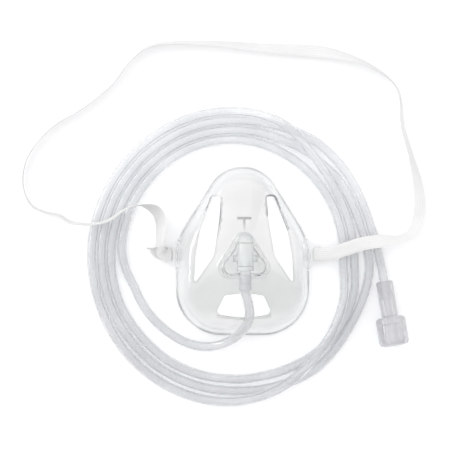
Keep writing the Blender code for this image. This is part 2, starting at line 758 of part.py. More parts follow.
def make_connector():
    """One soft moulding: sleeve, shoulder and open cup, with a narrow bore between its two sockets."""
    total = SLEEVE_LENGTH + CUP_LENGTH
    edge = CONNECTOR_ROUND
    socket = TUBE_RADIUS + HOLE_CLEARANCE
    profile = [(MOUTH_RADIUS, total), (CUP_RADIUS - edge * 0.6, total)]
    profile += corner_arc((CUP_RADIUS - edge, total - edge), edge, 60, 0, 3)
    profile += corner_arc((CUP_RADIUS - edge, SLEEVE_LENGTH + edge), edge, 0, -90, 4)
    profile += [
        (SLEEVE_RADIUS + 0.0008, SLEEVE_LENGTH),
        (SLEEVE_RADIUS, SLEEVE_LENGTH - 0.0012),
        (SLEEVE_RADIUS, 0.0004),
        (SLEEVE_RADIUS - 0.0004, 0),
        (socket, 0),
        (socket, SOCKET_DEPTH),
        (BORE_RADIUS, SOCKET_DEPTH),
        (BORE_RADIUS, total - MOUTH_DEPTH),
        (MOUTH_RADIUS - 0.0009, total - MOUTH_DEPTH),
    ]
    connector = turned("end_connector", profile, PART, closed=True, steps=32)
    place, direction = connector_frame()
    point_towards(connector, place, direction)
    return connector


def make_tail():
    """Tube from the outside of the coil into the connector's socket."""
    place, direction = connector_frame()
    route = [*TAIL_ROUTE, place, place + direction * (SOCKET_DEPTH - SEAT_GAP)]
    return tube("tubing_tail", even_points(smooth_curve(route, 12), TAIL_POINTS), TUBE_RADIUS, PART)


def strap_height(low, lean):
    """Height of the band's middle above the table for the height of its lower edge."""
    lean = radians(lean)
    return low + (STRAP_WIDTH * abs(sin(lean)) + STRAP_THICKNESS * abs(cos(lean))) / 2


def wrap(side):
    """The band's turn round an ear's outer bar, from under the bar to over it."""
    over = EAR_TOP_Z + SEAT_GAP + STRAP_THICKNESS / 2
    under = EAR_LOW - SEAT_GAP - STRAP_THICKNESS / 2
    middle = (over + under) / 2
    radius = (over - under) / 2
    hub = SLOT_OUTER_X + SEAT_GAP
    return [
        (side * (hub - radius * cos(angle)), EAR_CENTRE_Y, middle + radius * sin(angle), 0)
        for angle in (radians(-90), radians(-50), 0, radians(50), radians(90))
    ]


def make_strap():
    """Flat elastic, from its free end at the left ear, round the table, to the right ear."""
    tail = [(x, y, strap_height(low, lean), lean) for x, y, low, lean in STRAP_TAIL]
    route = [(x, y, strap_height(low, lean), lean) for x, y, low, lean in STRAP_ROUTE]
    end = wrap(1)[0]
    points = [*tail, *wrap(-1), *route, *reversed(wrap(1)), (EAR_TIP_X + STRAP_END_REACH, end[1], end[2], 0)]
    line = smooth_curve(points, STRAP_SPAN_STEPS)
    rings = []
    across = Vector((0, 0, 1))
    for index, row in enumerate(line):
        along = (line[min(index + 1, len(line) - 1)].xyz - line[max(index - 1, 0)].xyz).normalized()
        level = Vector((-along.y, along.x, 0))
        if level.length > 0.2:
            level.normalize()
            if index and level.dot(across) < 0 and abs(level.dot(across)) > 0.1:
                level.negate()
        else:
            level = Vector((across.x, across.y, 0)).normalized()
        up = level.cross(along)
        if up.z < 0:
            up.negate()
        across = (level * cos(radians(row.w)) + up * sin(radians(row.w))).normalized()
        rings.append([row.xyz - across * STRAP_WIDTH / 2, row.xyz + across * STRAP_WIDTH / 2])
    points = [point for ring in rings for point in ring]
    faces = [(2 * i, 2 * i + 1, 2 * i + 3, 2 * i + 2) for i in range(len(rings) - 1)]
    strap = add_mesh("elastic_strap", points, faces, PART)
    modifier = strap.modifiers.new("thickness", "SOLIDIFY")
    modifier.thickness = STRAP_THICKNESS
    modifier.offset = 0
    return strap


def build():
    clear = plastic("clear_shell", (0.82, 0.86, 0.86), 0.12, 0.35)
    cup_clear = plastic("clear_cup", (0.74, 0.80, 0.80), 0.15, 0.45)
    pin_clear = plastic("clear_pin", (0.78, 0.83, 0.84), 0.15, 0.6)
    nozzle_clear = plastic("clear_nozzle", (0.66, 0.71, 0.74), 0.14, 0.6)
    vinyl = {
        name: plastic("vinyl_" + name, (0.76, 0.79, 0.82), 0.2, 0.6) for name in ("lead", "coil", "tail", "cuff")
    }
    fitting = plastic("soft_connector", (0.60, 0.63, 0.66), 0.3, 0.8)
    elastic = plastic("woven_elastic", (0.92, 0.92, 0.91), 0.85)
    for piece, material in (
        (make_shell(), clear),
        (make_cup(), cup_clear),
        (make_pin(), pin_clear),
        (make_nozzle(), nozzle_clear),
        (make_cuff(), vinyl["cuff"]),
        (make_lead(), vinyl["lead"]),
        (make_coil(), vinyl["coil"]),
        (make_tail(), vinyl["tail"]),
        (make_connector(), fitting),
        (make_strap(), elastic),
    ):
        piece.data.materials.append(material)


build()
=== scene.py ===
# %% [markdown]
# # An open oxygen mask, lying face up with its tube and strap
#
# The real object is a clear soft moulding with a nozzle, some two metres of clear tube with a push-on
# end, and a flat white elastic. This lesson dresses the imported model, which stays where it is, with the
# surfaces that the real pieces show: clear plastic, hollow vinyl tube and woven elastic.

from math import atan2, cos, pi, radians, sin, tan

import bmesh
import bpy
from mathutils import Matrix, Vector, kdtree, noise
from mathutils.bvhtree import BVHTree


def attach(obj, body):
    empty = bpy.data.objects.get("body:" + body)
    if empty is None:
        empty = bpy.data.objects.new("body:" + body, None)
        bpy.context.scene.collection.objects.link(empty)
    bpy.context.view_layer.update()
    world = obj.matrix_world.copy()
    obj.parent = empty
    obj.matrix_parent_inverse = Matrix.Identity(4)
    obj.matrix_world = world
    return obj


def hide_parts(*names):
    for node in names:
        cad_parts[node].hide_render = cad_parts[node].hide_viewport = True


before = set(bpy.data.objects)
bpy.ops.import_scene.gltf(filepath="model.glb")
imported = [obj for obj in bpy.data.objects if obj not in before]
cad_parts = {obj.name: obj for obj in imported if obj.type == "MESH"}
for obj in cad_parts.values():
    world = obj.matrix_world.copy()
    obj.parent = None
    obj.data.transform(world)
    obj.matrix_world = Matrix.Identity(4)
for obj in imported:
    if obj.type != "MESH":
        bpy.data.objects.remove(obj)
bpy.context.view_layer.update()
MM = 0.001
print("nodes:", ", ".join(sorted(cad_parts)))

# %% [markdown]
# ## The camera
#
# The photograph looks straight down from about 0.9 m, a little from the left, so the nozzle on top of the
# mask shows slightly to the right of the rim's middle. The picture is square and 0.296 m wide at the table.

# %% Camera
PICTURE_WIDTH = 0.296
PICTURE_CENTRE = Vector((-0.0115, 0.0171, 0.0))
CAMERA_PLACE = Vector((-0.0400, 0.0150, 0.9000))


def make_camera():
    data = bpy.data.cameras.new("overhead_camera")
    data.sensor_width = 36.0
    data.lens = data.sensor_width * (CAMERA_PLACE - PICTURE_CENTRE).length / PICTURE_WIDTH
    camera = bpy.data.objects.new("overhead_camera", data)
    bpy.context.scene.collection.objects.link(camera)
    look = (PICTURE_CENTRE - CAMERA_PLACE).normalized()
    right = look.cross(Vector((0, 1, 0))).normalized()
    up = right.cross(look)
    facing = Matrix((right, up, -look)).transposed().to_4x4()
    camera.matrix_world = Matrix.Translation(CAMERA_PLACE) @ facing
    bpy.context.scene.camera = camera
    return camera


camera = make_camera()
print("camera", tuple(round(v, 3) for v in camera.location), "lens", round(camera.data.lens, 1), "mm")

# %% [markdown]
# ## Smooth routes
#
# A tube or an elastic never turns a corner, so both follow one smooth curve through a few chosen points.
# A Catmull-Rom curve goes through every point, which keeps the route easy to read and to change.

# %% Curves through chosen points
def smooth_curve(points, per_span):
    """Points along a smooth curve through rows of any number of values."""
    rows = [Vector(row) for row in points]
    rows = [2 * rows[0] - rows[1], *rows, 2 * rows[-1] - rows[-2]]
    fine = []
    for a, b, c, d in zip(rows, rows[1:], rows[2:], rows[3:]):
        for step in range(per_span):
            t = step / per_span
            bend = 2 * a - 5 * b + 4 * c - d
            swing = 3 * b - a - 3 * c + d
            fine.append(0.5 * (2 * b + (c - a) * t + bend * t**2 + swing * t**3))
    fine.append(rows[-2])
    return fine


def even_points(line, spacing):
    """The same line again with evenly spaced points."""
    lengths = [0.0]
    for one, two in zip(line, line[1:]):
        lengths.append(lengths[-1] + (two.to_3d() - one.to_3d()).length)
    count = max(2, round(lengths[-1] / spacing) + 1)
    even = []
    span = 0
    for index in range(count):
        target = lengths[-1] * index / (count - 1)
        while span < len(line) - 2 and lengths[span + 1] < target:
            span += 1
        share = (target - lengths[span]) / max(lengths[span + 1] - lengths[span], 1e-9)
        even.append(line[span].lerp(line[span + 1], min(share, 1.0)))
    return even


def line_length(line):
    return sum((two.to_3d() - one.to_3d()).length for one, two in zip(line, line[1:]))


def along_keys(keys, at):
    """Value at a place between (place, value) keys, eased between them."""
    if at <= keys[0][0]:
        return keys[0][1]
    for (p0, v0), (p1, v1) in zip(keys, keys[1:]):
        if at <= p1:
            t = (at - p0) / (p1 - p0)
            return v0 + (v1 - v0) * t * t * (3 - 2 * t)
    return keys[-1][1]


print("helpers ready")

# %% [markdown]
# ## The tube's route
#
# The tube leaves the cuff, drops over the chin and runs into a flat coil of three and a half turns, then
# ends in the push-on connector. In the coil the turns lie side by side, a tube's width apart. Twice a
# turn climbs over its neighbours in a long low hump: at the upper right, from the outside to the middle,
# and at the lower right, from the inside to the outside. So each turn has a list of distances from the
# coil's middle line, read clockwise from where the lead joins it at the left.

# %% Route of the tube
TUBE_RADIUS = 0.0031
TUBE_BORE = 0.0021
BARREL_RADIUS = 0.0054
BARREL_Z = 0.0397
NECK_END_Y = -0.0141
SPIGOT_END_Y = -0.0197
CUFF_LENGTH = 0.0097
CUFF_END_Y = -0.0241
COIL_CENTRE = Vector((-0.0064, -0.0036))
COIL_MEAN_RADIUS_X = 0.0829
COIL_MEAN_RADIUS_Y = 0.08605
JOIN_ANGLE = 196.3
LEAD_ROUTE = (
    (0.0010, -0.0285, 0.0385),
    (0.0026, -0.0345, 0.0350),
    (0.0032, -0.0400, 0.0305),
    (0.0024, -0.0450, 0.0255),
    (-0.0004, -0.0500, 0.0205),
    (-0.0042, -0.0546, 0.0155),
    (-0.0098, -0.0588, 0.0102),
    (-0.0165, -0.0615, 0.0062),
    (-0.0245, -0.0625, 0.0038),
    (-0.0330, -0.0612, 0.0031),
    (-0.0411, -0.0579, 0.0031),
    (-0.0494, -0.0525, 0.0031),
    (-0.0569, -0.0460, 0.0031),
    (-0.0632, -0.0382, 0.0031),
    (-0.0680, -0.0302, 0.0031),
)
# Distance of each turn from the coil's middle line in mm, by degrees travelled clockwise from the join
COIL_OFFSETS = (
    (0, -15.7), (8, -13.0), (20, -9.9), (40, -9.4), (106, -9.2), (136, -9.9), (176, -10.0), (202, -10.1),
    (208, -8.3), (216, -6.1), (226, -4.2), (236, -2.0), (246, 0.0), (256, 2.4), (266, 5.0), (276, 7.2),
    (286, 8.9), (300, 9.5), (360, 9.4), (420, 9.2), (460, 9.3), (476, 8.6), (486, 7.0), (496, 3.4),
    (506, -0.4), (516, -3.0), (530, -3.8), (554, -3.6), (562, -2.6), (570, -0.8), (578, 0.4), (590, 0.7),
    (602, -0.6), (616, -3.0), (632, -5.2), (650, -5.9), (690, -4.8), (720, -3.2), (780, -3.2), (826, -3.1),
    (846, -2.6), (866, -0.4), (886, 1.8), (896, 2.4), (904, 3.3), (912, 5.2), (920, 7.0), (930, 7.1),
    (942, 5.8), (954, 5.8), (966, 6.6), (976, 5.8), (986, 4.2), (996, 2.7), (1006, 1.9), (1020, 1.8),
    (1050, 2.3), (1080, 3.1), (1140, 3.1), (1186, 3.1), (1196, 3.6), (1206, 5.0), (1216, 6.8), (1226, 8.3),
    (1240, 8.7), (1260, 9.0), (1268, 10.4), (1276, 13.2), (1280, 14.8),
)
# Height in mm over the table's level in the two humps
COIL_HEIGHTS = (
    (0, 0), (199, 0), (218, 6.0), (240, 5.8), (256, 5.8), (274, 5.9), (294, 0),
    (458, 0), (480, 6.2), (508, 6.2), (534, 0), (1280, 0),
)
COIL_END = 1280
COIL_STEP = 8
TUBE_SPACING = 0.0022
TAIL_ROUTE = (
    (0.0918, -0.0128, 0.0037),
    (0.0921, -0.0158, 0.0043),
)
SLEEVE_RADIUS = 0.0056
SLEEVE_MOUTH = (0.0928, -0.0201)
SLEEVE_LENGTH = 0.0240
CUP_RADIUS = 0.00985
CONNECTOR_ROUND = 0.0022
CONNECTOR_TURN = radians(-81.9)
SOCKET_DEPTH = 0.0120
SEAT_GAP = 0.0003


def connector_frame():
    """Place of the sleeve's mouth and the connector's direction, as it rests on the table."""
    tilt = atan2(CUP_RADIUS - SLEEVE_RADIUS, SLEEVE_LENGTH + CONNECTOR_ROUND)
    direction = Vector((cos(CONNECTOR_TURN) * cos(tilt), sin(CONNECTOR_TURN) * cos(tilt), sin(tilt)))
    return Vector((*SLEEVE_MOUTH, SLEEVE_RADIUS * cos(tilt))), direction


def coil_point(travelled):
    """Point of the tube's middle after so many degrees clockwise from the join."""
    angle = radians(JOIN_ANGLE - travelled)
    offset = along_keys(COIL_OFFSETS, travelled) * MM
    rise = along_keys(COIL_HEIGHTS, travelled) * MM
    return Vector((
        COIL_CENTRE.x + (COIL_MEAN_RADIUS_X + offset) * cos(angle),
        COIL_CENTRE.y + (COIL_MEAN_RADIUS_Y + offset) * sin(angle),
        TUBE_RADIUS + rise,
    ))


def tube_route():
    mouth, direction = connector_frame()
    turns = [coil_point(travelled) for travelled in range(0, COIL_END + 1, COIL_STEP)]
    route = [(0, SPIGOT_END_Y, BARREL_Z), (0, CUFF_END_Y, BARREL_Z), *LEAD_ROUTE, *turns, *TAIL_ROUTE]
    route += [mouth, mouth + direction * (SOCKET_DEPTH - SEAT_GAP)]
    return even_points(smooth_curve(route, 6), TUBE_SPACING)


tube_line = tube_route()
TUBE_LENGTH = line_length(tube_line)
print("tube", round(TUBE_LENGTH, 3), "m,", len(tube_line), "points")

# %% [markdown]
# ## The tube itself
#
# Clear tube shows its bore: two bright walls with a darker channel between them. So it is made hollow, as
# an outer skin and an inner one joined by a flat ring at each end. A curve with a bevel would be a filled
# rod, which bends light quite differently.

# %% Hollow tube
TUBE_SIDES = 32


def finished(name, mesh, smooth_angle=40.0):
    """Scene object from a bmesh, smooth but for its sharp edges."""
    data = bpy.data.meshes.new(name)
    mesh.to_mesh(data)
    mesh.free()
    data.shade_smooth()
    data.set_sharp_from_angle(angle=radians(smooth_angle))
    piece = bpy.data.objects.new(name, data)
    bpy.context.scene.collection.objects.link(piece)
    return piece


def ring_frames(line):
    """A level and an upright direction at each point of a line, turning as little as possible."""
    count = len(line)
    frames = []
    level = None
    for index in range(count):
        along = (line[min(index + 1, count - 1)] - line[max(index - 1, 0)]).normalized()
        if level is None:
            level = Vector((-along.y, along.x, 0)).normalized()
        level = (level - along * level.dot(along)).normalized()
        frames.append((level, along.cross(level)))
    return frames


def hollow_tube(name, line, radius, bore, sides):
    """Mesh of a tube along a line, with its bore."""
    mesh = bmesh.new()
    turns = [2 * pi * i / sides for i in range(sides)]
    outer, inner = [
        [
            [mesh.verts.new(point + (level * cos(turn) + upright * sin(turn)) * reach) for turn in turns]
            for point, (level, upright) in zip(line, ring_frames(line))
        ]
        for reach in (radius, bore)
    ]
    for i in range(sides):
        j = (i + 1) % sides
        for one, two in zip(outer, outer[1:]):
            mesh.faces.new((one[i], one[j], two[j], two[i]))
        for one, two in zip(inner, inner[1:]):
            mesh.faces.new((one[j], one[i], two[i], two[j]))
        for end in (0, -1):
            mesh.faces.new((outer[end][i], outer[end][j], inner[end][j], inner[end][i]))
    bmesh.ops.recalc_face_normals(mesh, faces=mesh.faces)
    return finished(name, mesh)


tubing = hollow_tube("clear_tubing", tube_line, TUBE_RADIUS, TUBE_BORE, TUBE_SIDES)
print("tube mesh", len(tubing.data.polygons), "faces")

# %% [markdown]
# ## The elastic strap's route
#
# The strap is a flat knitted band, 9 mm wide. It is threaded through the left ear, runs round the top of
# the picture partly on its edge, crosses the coil at both sides and is threaded through the right ear.
# Each point has a lean: 0 degrees lies flat, 90 stands on its edge, and past 90 the other face shows. On
# its way the band makes a half twist, so it comes to the right ear at a lean of 180, the other face up.

# %% Route of the strap
STRAP_WIDTH = 0.0090
STRAP_THICKNESS = 0.0010
EAR_LOW = 0.0024
EAR_TOP_Z = 0.0042
EAR_CENTRE_Y = -0.0020
SLOT_INNER_X = 0.0450
SLOT_OUTER_X = 0.0478
STRAP_END_X = 0.0568
STRAP_TAIL = (
    (-0.0626, 0.0018, 0.0005, 88),
    (-0.0600, 0.0017, 0.0005, 84),
    (-0.0573, 0.0008, 0.0005, 46),
    (-0.0530, -0.0012, 0.0007, 3),
)
STRAP_ROUTE = (
    (-0.0515, -0.0016, 0.0046, 14),
    (-0.0535, 0.0006, 0.0046, 36),
    (-0.0545, 0.0050, 0.0046, 58),
    (-0.0538, 0.0110, 0.0042, 52),
    (-0.0532, 0.0180, 0.0036, 38),
    (-0.0552, 0.0245, 0.0030, 34),
    (-0.0595, 0.0285, 0.0034, 52),
    (-0.0650, 0.0300, 0.0066, 84),
    (-0.0720, 0.0292, 0.0072, 94),
    (-0.0790, 0.0258, 0.0072, 99),
    (-0.0865, 0.0205, 0.0072, 101),
    (-0.0944, 0.0181, 0.0072, 99),
    (-0.1010, 0.0176, 0.0070, 97),
    (-0.1122, 0.0190, 0.0020, 101),
    (-0.1200, 0.0235, 0.0003, 97),
    (-0.1299, 0.0258, 0.0003, 94),
    (-0.1378, 0.0300, 0.0003, 90),
    (-0.1428, 0.0400, 0.0003, 85),
    (-0.1430, 0.0526, 0.0003, 84),
    (-0.1378, 0.0660, 0.0003, 82),
    (-0.1240, 0.0815, 0.0003, 79),
    (-0.1063, 0.0925, 0.0003, 77),
    (-0.0870, 0.1078, 0.0003, 77),
    (-0.0740, 0.1240, 0.0003, 79),
    (-0.0580, 0.1348, 0.0003, 74),
    (-0.0214, 0.1362, 0.0003, 62),
    (0.0181, 0.1330, 0.0003, 42),
    (0.0420, 0.1318, 0.0003, 24),
    (0.0576, 0.1302, 0.0003, 36),
    (0.0773, 0.1248, 0.0003, 62),
    (0.0930, 0.1160, 0.0003, 74),
    (0.1015, 0.1070, 0.0003, 82),
    (0.1042, 0.0960, 0.0003, 88),
    (0.1052, 0.0820, 0.0003, 94),
    (0.1108, 0.0625, 0.0003, 104),
    (0.1156, 0.0428, 0.0003, 126),
    (0.1166, 0.0270, 0.0003, 136),
    (0.1125, 0.0135, 0.0006, 130),
    (0.1030, 0.0076, 0.0040, 128),
    (0.0925, 0.0068, 0.0072, 156),
    (0.0790, 0.0050, 0.0072, 174),
    (0.0670, 0.0012, 0.0074, 180),
    (0.0600, -0.0010, 0.0072, 180),
    (0.0520, -0.0020, 0.0048, 180),
)


def strap_height(low, lean):
    """Height of the band's middle from the height of its lower edge."""
    lean = radians(lean)
    return low + (STRAP_WIDTH * abs(sin(lean)) + STRAP_THICKNESS * abs(cos(lean))) / 2


def ear_wrap(side):
    """The band's turn round an ear's outer bar, from under it to over it; twisted over on the right."""
    over = EAR_TOP_Z + SEAT_GAP + STRAP_THICKNESS / 2
    under = EAR_LOW - SEAT_GAP - STRAP_THICKNESS / 2
    middle = (over + under) / 2
    radius = (over - under) / 2
    hub = SLOT_OUTER_X + SEAT_GAP
    lean = 180 if side > 0 else 0
    return [
        (side * (hub - radius * cos(angle)), EAR_CENTRE_Y, middle + radius * sin(angle), lean)
        for angle in map(radians, (-90, -50, 0, 50, 90))
    ]


def strap_line():
    """Rows of (x, y, z, lean) along the whole strap."""
    tail = [(x, y, strap_height(low, lean), lean) for x, y, low, lean in STRAP_TAIL]
    route = [(x, y, strap_height(low, lean), lean) for x, y, low, lean in STRAP_ROUTE]
    end = ear_wrap(1)[0]
    points = [*tail, *ear_wrap(-1), *route, *reversed(ear_wrap(1)), (STRAP_END_X, end[1], end[2], end[3])]
    return smooth_curve(points, 8)


strap_rows = strap_line()
STRAP_LENGTH = line_length(strap_rows)
print("strap", round(STRAP_LENGTH, 3), "m,", len(strap_rows), "points")

# %% [markdown]
# ## The strap's mesh
#
# Knitted elastic is a little thicker in its middle than at its edges, and its edges wave slightly where the
# threads turn back. The band is a closed section swept along the route, with one extra coordinate pair
# kept as a UV map: across the band and along it, so that the knit can follow the band.

# %% Woven band
EDGE_WAVE = 0.012
EDGE_WAVE_LENGTH = 0.0011
STEEPEST_LEVEL = 0.2


def band_frames(rows):
    """Across and outward directions at each row, turned by its lean."""
    before = None
    frames = []
    count = len(rows)
    for index, row in enumerate(rows):
        along = (rows[min(index + 1, count - 1)].xyz - rows[max(index - 1, 0)].xyz).normalized()
        level = Vector((-along.y, along.x, 0))
        if level.length > STEEPEST_LEVEL:
            level.normalize()
            if before and level.dot(before) < 0:
                level.negate()
        else:
            level = before.copy()
        before = level.copy()
        up = level.cross(along)
        if up.z < 0:
            up.negate()
        across = (level * cos(radians(row.w)) + up * sin(radians(row.w))).normalized()
        frames.append((across, along.cross(across).normalized()))
    return frames


def band_section(steps=8):
    """Closed outline of the band: (across, outward) shares of its width and thickness."""
    top = [(-0.5 + i / steps, 0.5 * (1 - abs(-1 + 2 * i / steps) ** 6) ** 0.5) for i in range(1, steps)]
    return [(-0.5, 0.0), *top, (0.5, 0.0), *[(a, -b) for a, b in reversed(top)]]


def woven_band(name, rows):
    """Closed mesh of the band along its rows, with its UV map."""
    mesh = bmesh.new()
    uv = mesh.loops.layers.uv.new("band")
    section = band_section()
    travelled = 0.0
    rings = []
    lengths = []
    for index, (row, (across, outward)) in enumerate(zip(rows, band_frames(rows))):
        if index:
            travelled += (row.xyz - rows[index - 1].xyz).length
        lengths.append(travelled)
        width = STRAP_WIDTH * (1 - EDGE_WAVE + EDGE_WAVE * sin(travelled / EDGE_WAVE_LENGTH))
        rings.append([
            mesh.verts.new(row.xyz + across * a * width + outward * b * STRAP_THICKNESS) for a, b in section
        ])
    count = len(section)
    for k in range(len(rings) - 1):
        for i in range(count):
            j = (i + 1) % count
            face = mesh.faces.new((rings[k][i], rings[k][j], rings[k + 1][j], rings[k + 1][i]))
            places = ((i, k), (j, k), (j, k + 1), (i, k + 1))
            for loop, (s, r) in zip(face.loops, places):
                loop[uv].uv = (section[s][0] * STRAP_WIDTH, lengths[r])
    mesh.faces.new(list(reversed(rings[0])))
    mesh.faces.new(rings[-1])
    bmesh.ops.recalc_face_normals(mesh, faces=mesh.faces)
    return finished(name, mesh, 60.0)


strap = woven_band("elastic_band", strap_rows)
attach(strap, "root")
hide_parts("elastic_strap")
print("strap mesh", len(strap.data.polygons), "faces")

# %% [markdown]
# ## Shapes for moulded pieces
#
# Moulded plastic has no sharp corners: a tool is cut with small radii, so every edge catches a thin line
# of light. Three helpers make nearly everything here: an outline with rounded corners, a turned body
# from a rounded half profile, and a plate with softened rims. Cuts and joints are exact booleans, whose
# result replaces the mesh, so that no modifier or tool is left over.

# %% Outlines, turned bodies and plates
SHARP_CUT = 35


def rounded(corners, steps=5):
    """Closed outline whose corners (x, y, radius) become arcs; a radius of 0 stays a point."""
    points = []
    count = len(corners)
    for index, (x, y, radius) in enumerate(corners):
        here = Vector((x, y))
        if radius == 0:
            points.append(here)
            continue
        before = Vector(corners[index - 1][:2]) - here
        after = Vector(corners[(index + 1) % count][:2]) - here
        half = before.angle(after) / 2
        reach = min(radius / tan(half), 0.48 * before.length, 0.48 * after.length)
        arc_radius = reach * tan(half)
        middle = here + (before.normalized() + after.normalized()).normalized() * (arc_radius / sin(half))
        start = here + before.normalized() * reach - middle
        turn = start.angle_signed(here + after.normalized() * reach - middle)
        for step in range(steps + 1):
            spoke = start.copy()
            spoke.rotate(Matrix.Rotation(-turn * step / steps, 2))
            points.append(middle + spoke)
    return points


def lathe(name, corners, place, direction, steps=72, open_through=False):
    """Body turned about its axis from (radius, height, corner radius), with a hole through it if open."""
    mesh = bmesh.new()
    turns = [2 * pi * i / steps for i in range(steps)]
    loops = []
    for radius, height in rounded(corners, 4):
        if radius < 1e-6:
            ring = [(0, 0)]
        else:
            ring = [(radius * cos(turn), radius * sin(turn)) for turn in turns]
        loops.append([mesh.verts.new((x, y, height)) for x, y in ring])
    for one, two in zip(loops, loops[1:] + loops[:1] if open_through else loops[1:]):
        for i in range(steps):
            j = (i + 1) % steps
            corners_here = (one[i % len(one)], one[j % len(one)], two[j % len(two)], two[i % len(two)])
            face = list(dict.fromkeys(corners_here))
            if len(face) > 2:
                mesh.faces.new(face)
    bmesh.ops.recalc_face_normals(mesh, faces=mesh.faces)
    facing = Vector(direction).to_track_quat("Z", "Y").to_matrix().to_4x4()
    mesh.transform(Matrix.Translation(place) @ facing)
    return finished(name, mesh)


def close_plate(mesh, floor, roof):
    """Faces of a solid between two loops with as many points."""
    mesh.faces.new(roof)
    mesh.faces.new(floor[::-1])
    for i in range(len(floor)):
        j = (i + 1) % len(floor)
        mesh.faces.new((floor[i], floor[j], roof[j], roof[i]))
    bmesh.ops.recalc_face_normals(mesh, faces=mesh.faces)


def soften(mesh, edges, radius):
    """Round some edges of a mesh."""
    bmesh.ops.bevel(
        mesh, geom=edges, offset=radius, segments=3, profile=0.5, affect="EDGES", clamp_overlap=True
    )


def prism(name, outline, low, high, edge=0.0):
    """Upright plate between two heights, with its rims rounded by an edge radius."""
    mesh = bmesh.new()
    floor, roof = [[mesh.verts.new((x, y, z)) for x, y in outline] for z in (low, high)]
    close_plate(mesh, floor, roof)
    if edge:
        soften(mesh, [e for e in mesh.edges if abs(e.verts[0].co.z - e.verts[1].co.z) < 1e-7], edge)
    return finished(name, mesh)


def shaped(piece, *steps):
    """Cut or join other bodies with a piece, as (operation, body) steps; the bodies are used up."""
    for operation, body in steps:
        modifier = piece.modifiers.new(operation, "BOOLEAN")
        modifier.operation = operation
        modifier.solver = "EXACT"
        modifier.object = body
    bpy.context.view_layer.update()
    graph = bpy.context.evaluated_depsgraph_get()
    mesh = bpy.data.meshes.new_from_object(piece.evaluated_get(graph))
    piece.modifiers.clear()
    piece.data = mesh
    for _, body in steps:
        bpy.data.objects.remove(body, do_unlink=True)
    mesh.shade_smooth()
    mesh.set_sharp_from_angle(angle=radians(SHARP_CUT))
    return piece


print("a rounded triangle has", len(rounded(((0, 0, 0.1), (1, 0, 0.1), (0, 1, 0.1)))), "points")

# %% [markdown]
# ## The mask's shell
#
# The shell is one soft clear moulding, 1.2 mm thick. From above it has a round nose, straight flanks and a
# wide chin. A steep side wall rises from a rolled rim to a soft bend, and a flatter front panel climbs to
# the raised seat of the nozzle. It is built as closed rings of points, from the lip inwards, because a
# surface in rings keeps its reflections smooth and its profile is one short list.

# %% Outlines of the face and the seat
FACE_HALF_WIDTH = 0.0438
NOSE_Y = 0.0553
CHIN_Y = -0.0553
FACE_CORNERS = (
    (0.0136, NOSE_Y, 0.0245),
    (FACE_HALF_WIDTH, 0.0073, 0.0420),
    (FACE_HALF_WIDTH, CHIN_Y, 0.0346),
)
SEAT_CENTRE_Y = -0.0042
SEAT_CORNERS = ((0, 0.01735, 0.0060), (0.0214, -0.0168, 0.0065), (-0.0214, -0.0168, 0.0065))
SEAT_FLARE = 0.0013
AROUND_SHELL = 288


def face_outline(count):
    """Outline of the face, evenly spaced clockwise from the nose."""
    steps = 30
    corners = [*FACE_CORNERS, *[(-x, y, radius) for x, y, radius in reversed(FACE_CORNERS)]]
    right = rounded(corners, steps)[:len(FACE_CORNERS) * (steps + 1)]
    left = [Vector((-point.x, point.y)) for point in reversed(right)]
    line = [Vector((0, NOSE_Y)), *right, Vector((0, CHIN_Y)), *left, Vector((0, NOSE_Y))]
    line = [point.to_3d() for point in line]
    return even_points(line, line_length(line) / count)[:-1]


SEAT_OUTLINE = rounded(SEAT_CORNERS, 16)


def seat_point(angle, outset=0.0):
    """Point of the seat's outline in a direction from the stem's axis."""
    centre = Vector((0, SEAT_CENTRE_Y))
    ray = Vector((cos(angle), sin(angle)))
    for one, two in zip(SEAT_OUTLINE, SEAT_OUTLINE[1:] + SEAT_OUTLINE[:1]):
        before, after = ray.cross(one - centre), ray.cross(two - centre)
        if before != after and before * after <= 0:
            hit = (one - centre).lerp(two - centre, before / (before - after))
            if hit.dot(ray) > 0:
                return centre + ray * (hit.length + outset)
    raise ValueError("no seat in that direction")


face_line = face_outline(AROUND_SHELL)
print("outline", len(face_line), "points, seat tip at", round(seat_point(pi / 2).y, 4))

# %% [markdown]
# ## The shell's surface
#
# Each ring has its place in from the rim and its height. Between the rim and the seat the points follow
# the wall, the bend and the panel. A weak noise pushes wall and panel in and out by a few tenths of a
# millimetre, as soft vinyl does when it has lain in a bag, so its reflections waver. Blender's vector noise
# starts from the clock unless it is given a seed, so a seed is set here and each run gives the same shell.

# %% Rings of the shell
SHELL_WALL = 0.0012
LIP_REACH = 0.0065
RIM_RADIUS = 0.0022
WALL_INSET = 0.0062
WALL_HEIGHT = 0.0170
BEND_REACH = 0.0060
DOME_HEIGHT = 0.0270
SEAT_TOP = 0.0340
SEAT_ROUND = 0.0017
SEAT_LEAN = 0.0010
STEM_RADIUS = 0.0045
SEAT_HOLE_RING = STEM_RADIUS * 1.7
SLACKNESS = 0.00028
SLACK_SCALE = 62
SLACK_RISE = (0.0040, 0.0040)
SLACK_FALL = (0.0262, -0.0030)
SLACK_SEED = 1
noise.seed_set(SLACK_SEED)


def fade(value, start, reach):
    """Share from 0 at the start to 1 after the reach, which may be negative."""
    return min(max((value - start) / reach, 0), 1)


def arc(centre, radius, start, end, steps):
    angles = [radians(start + (end - start) * i / steps) for i in range(steps + 1)]
    return [Vector((centre[0] + radius * cos(a), centre[1] + radius * sin(a))) for a in angles]


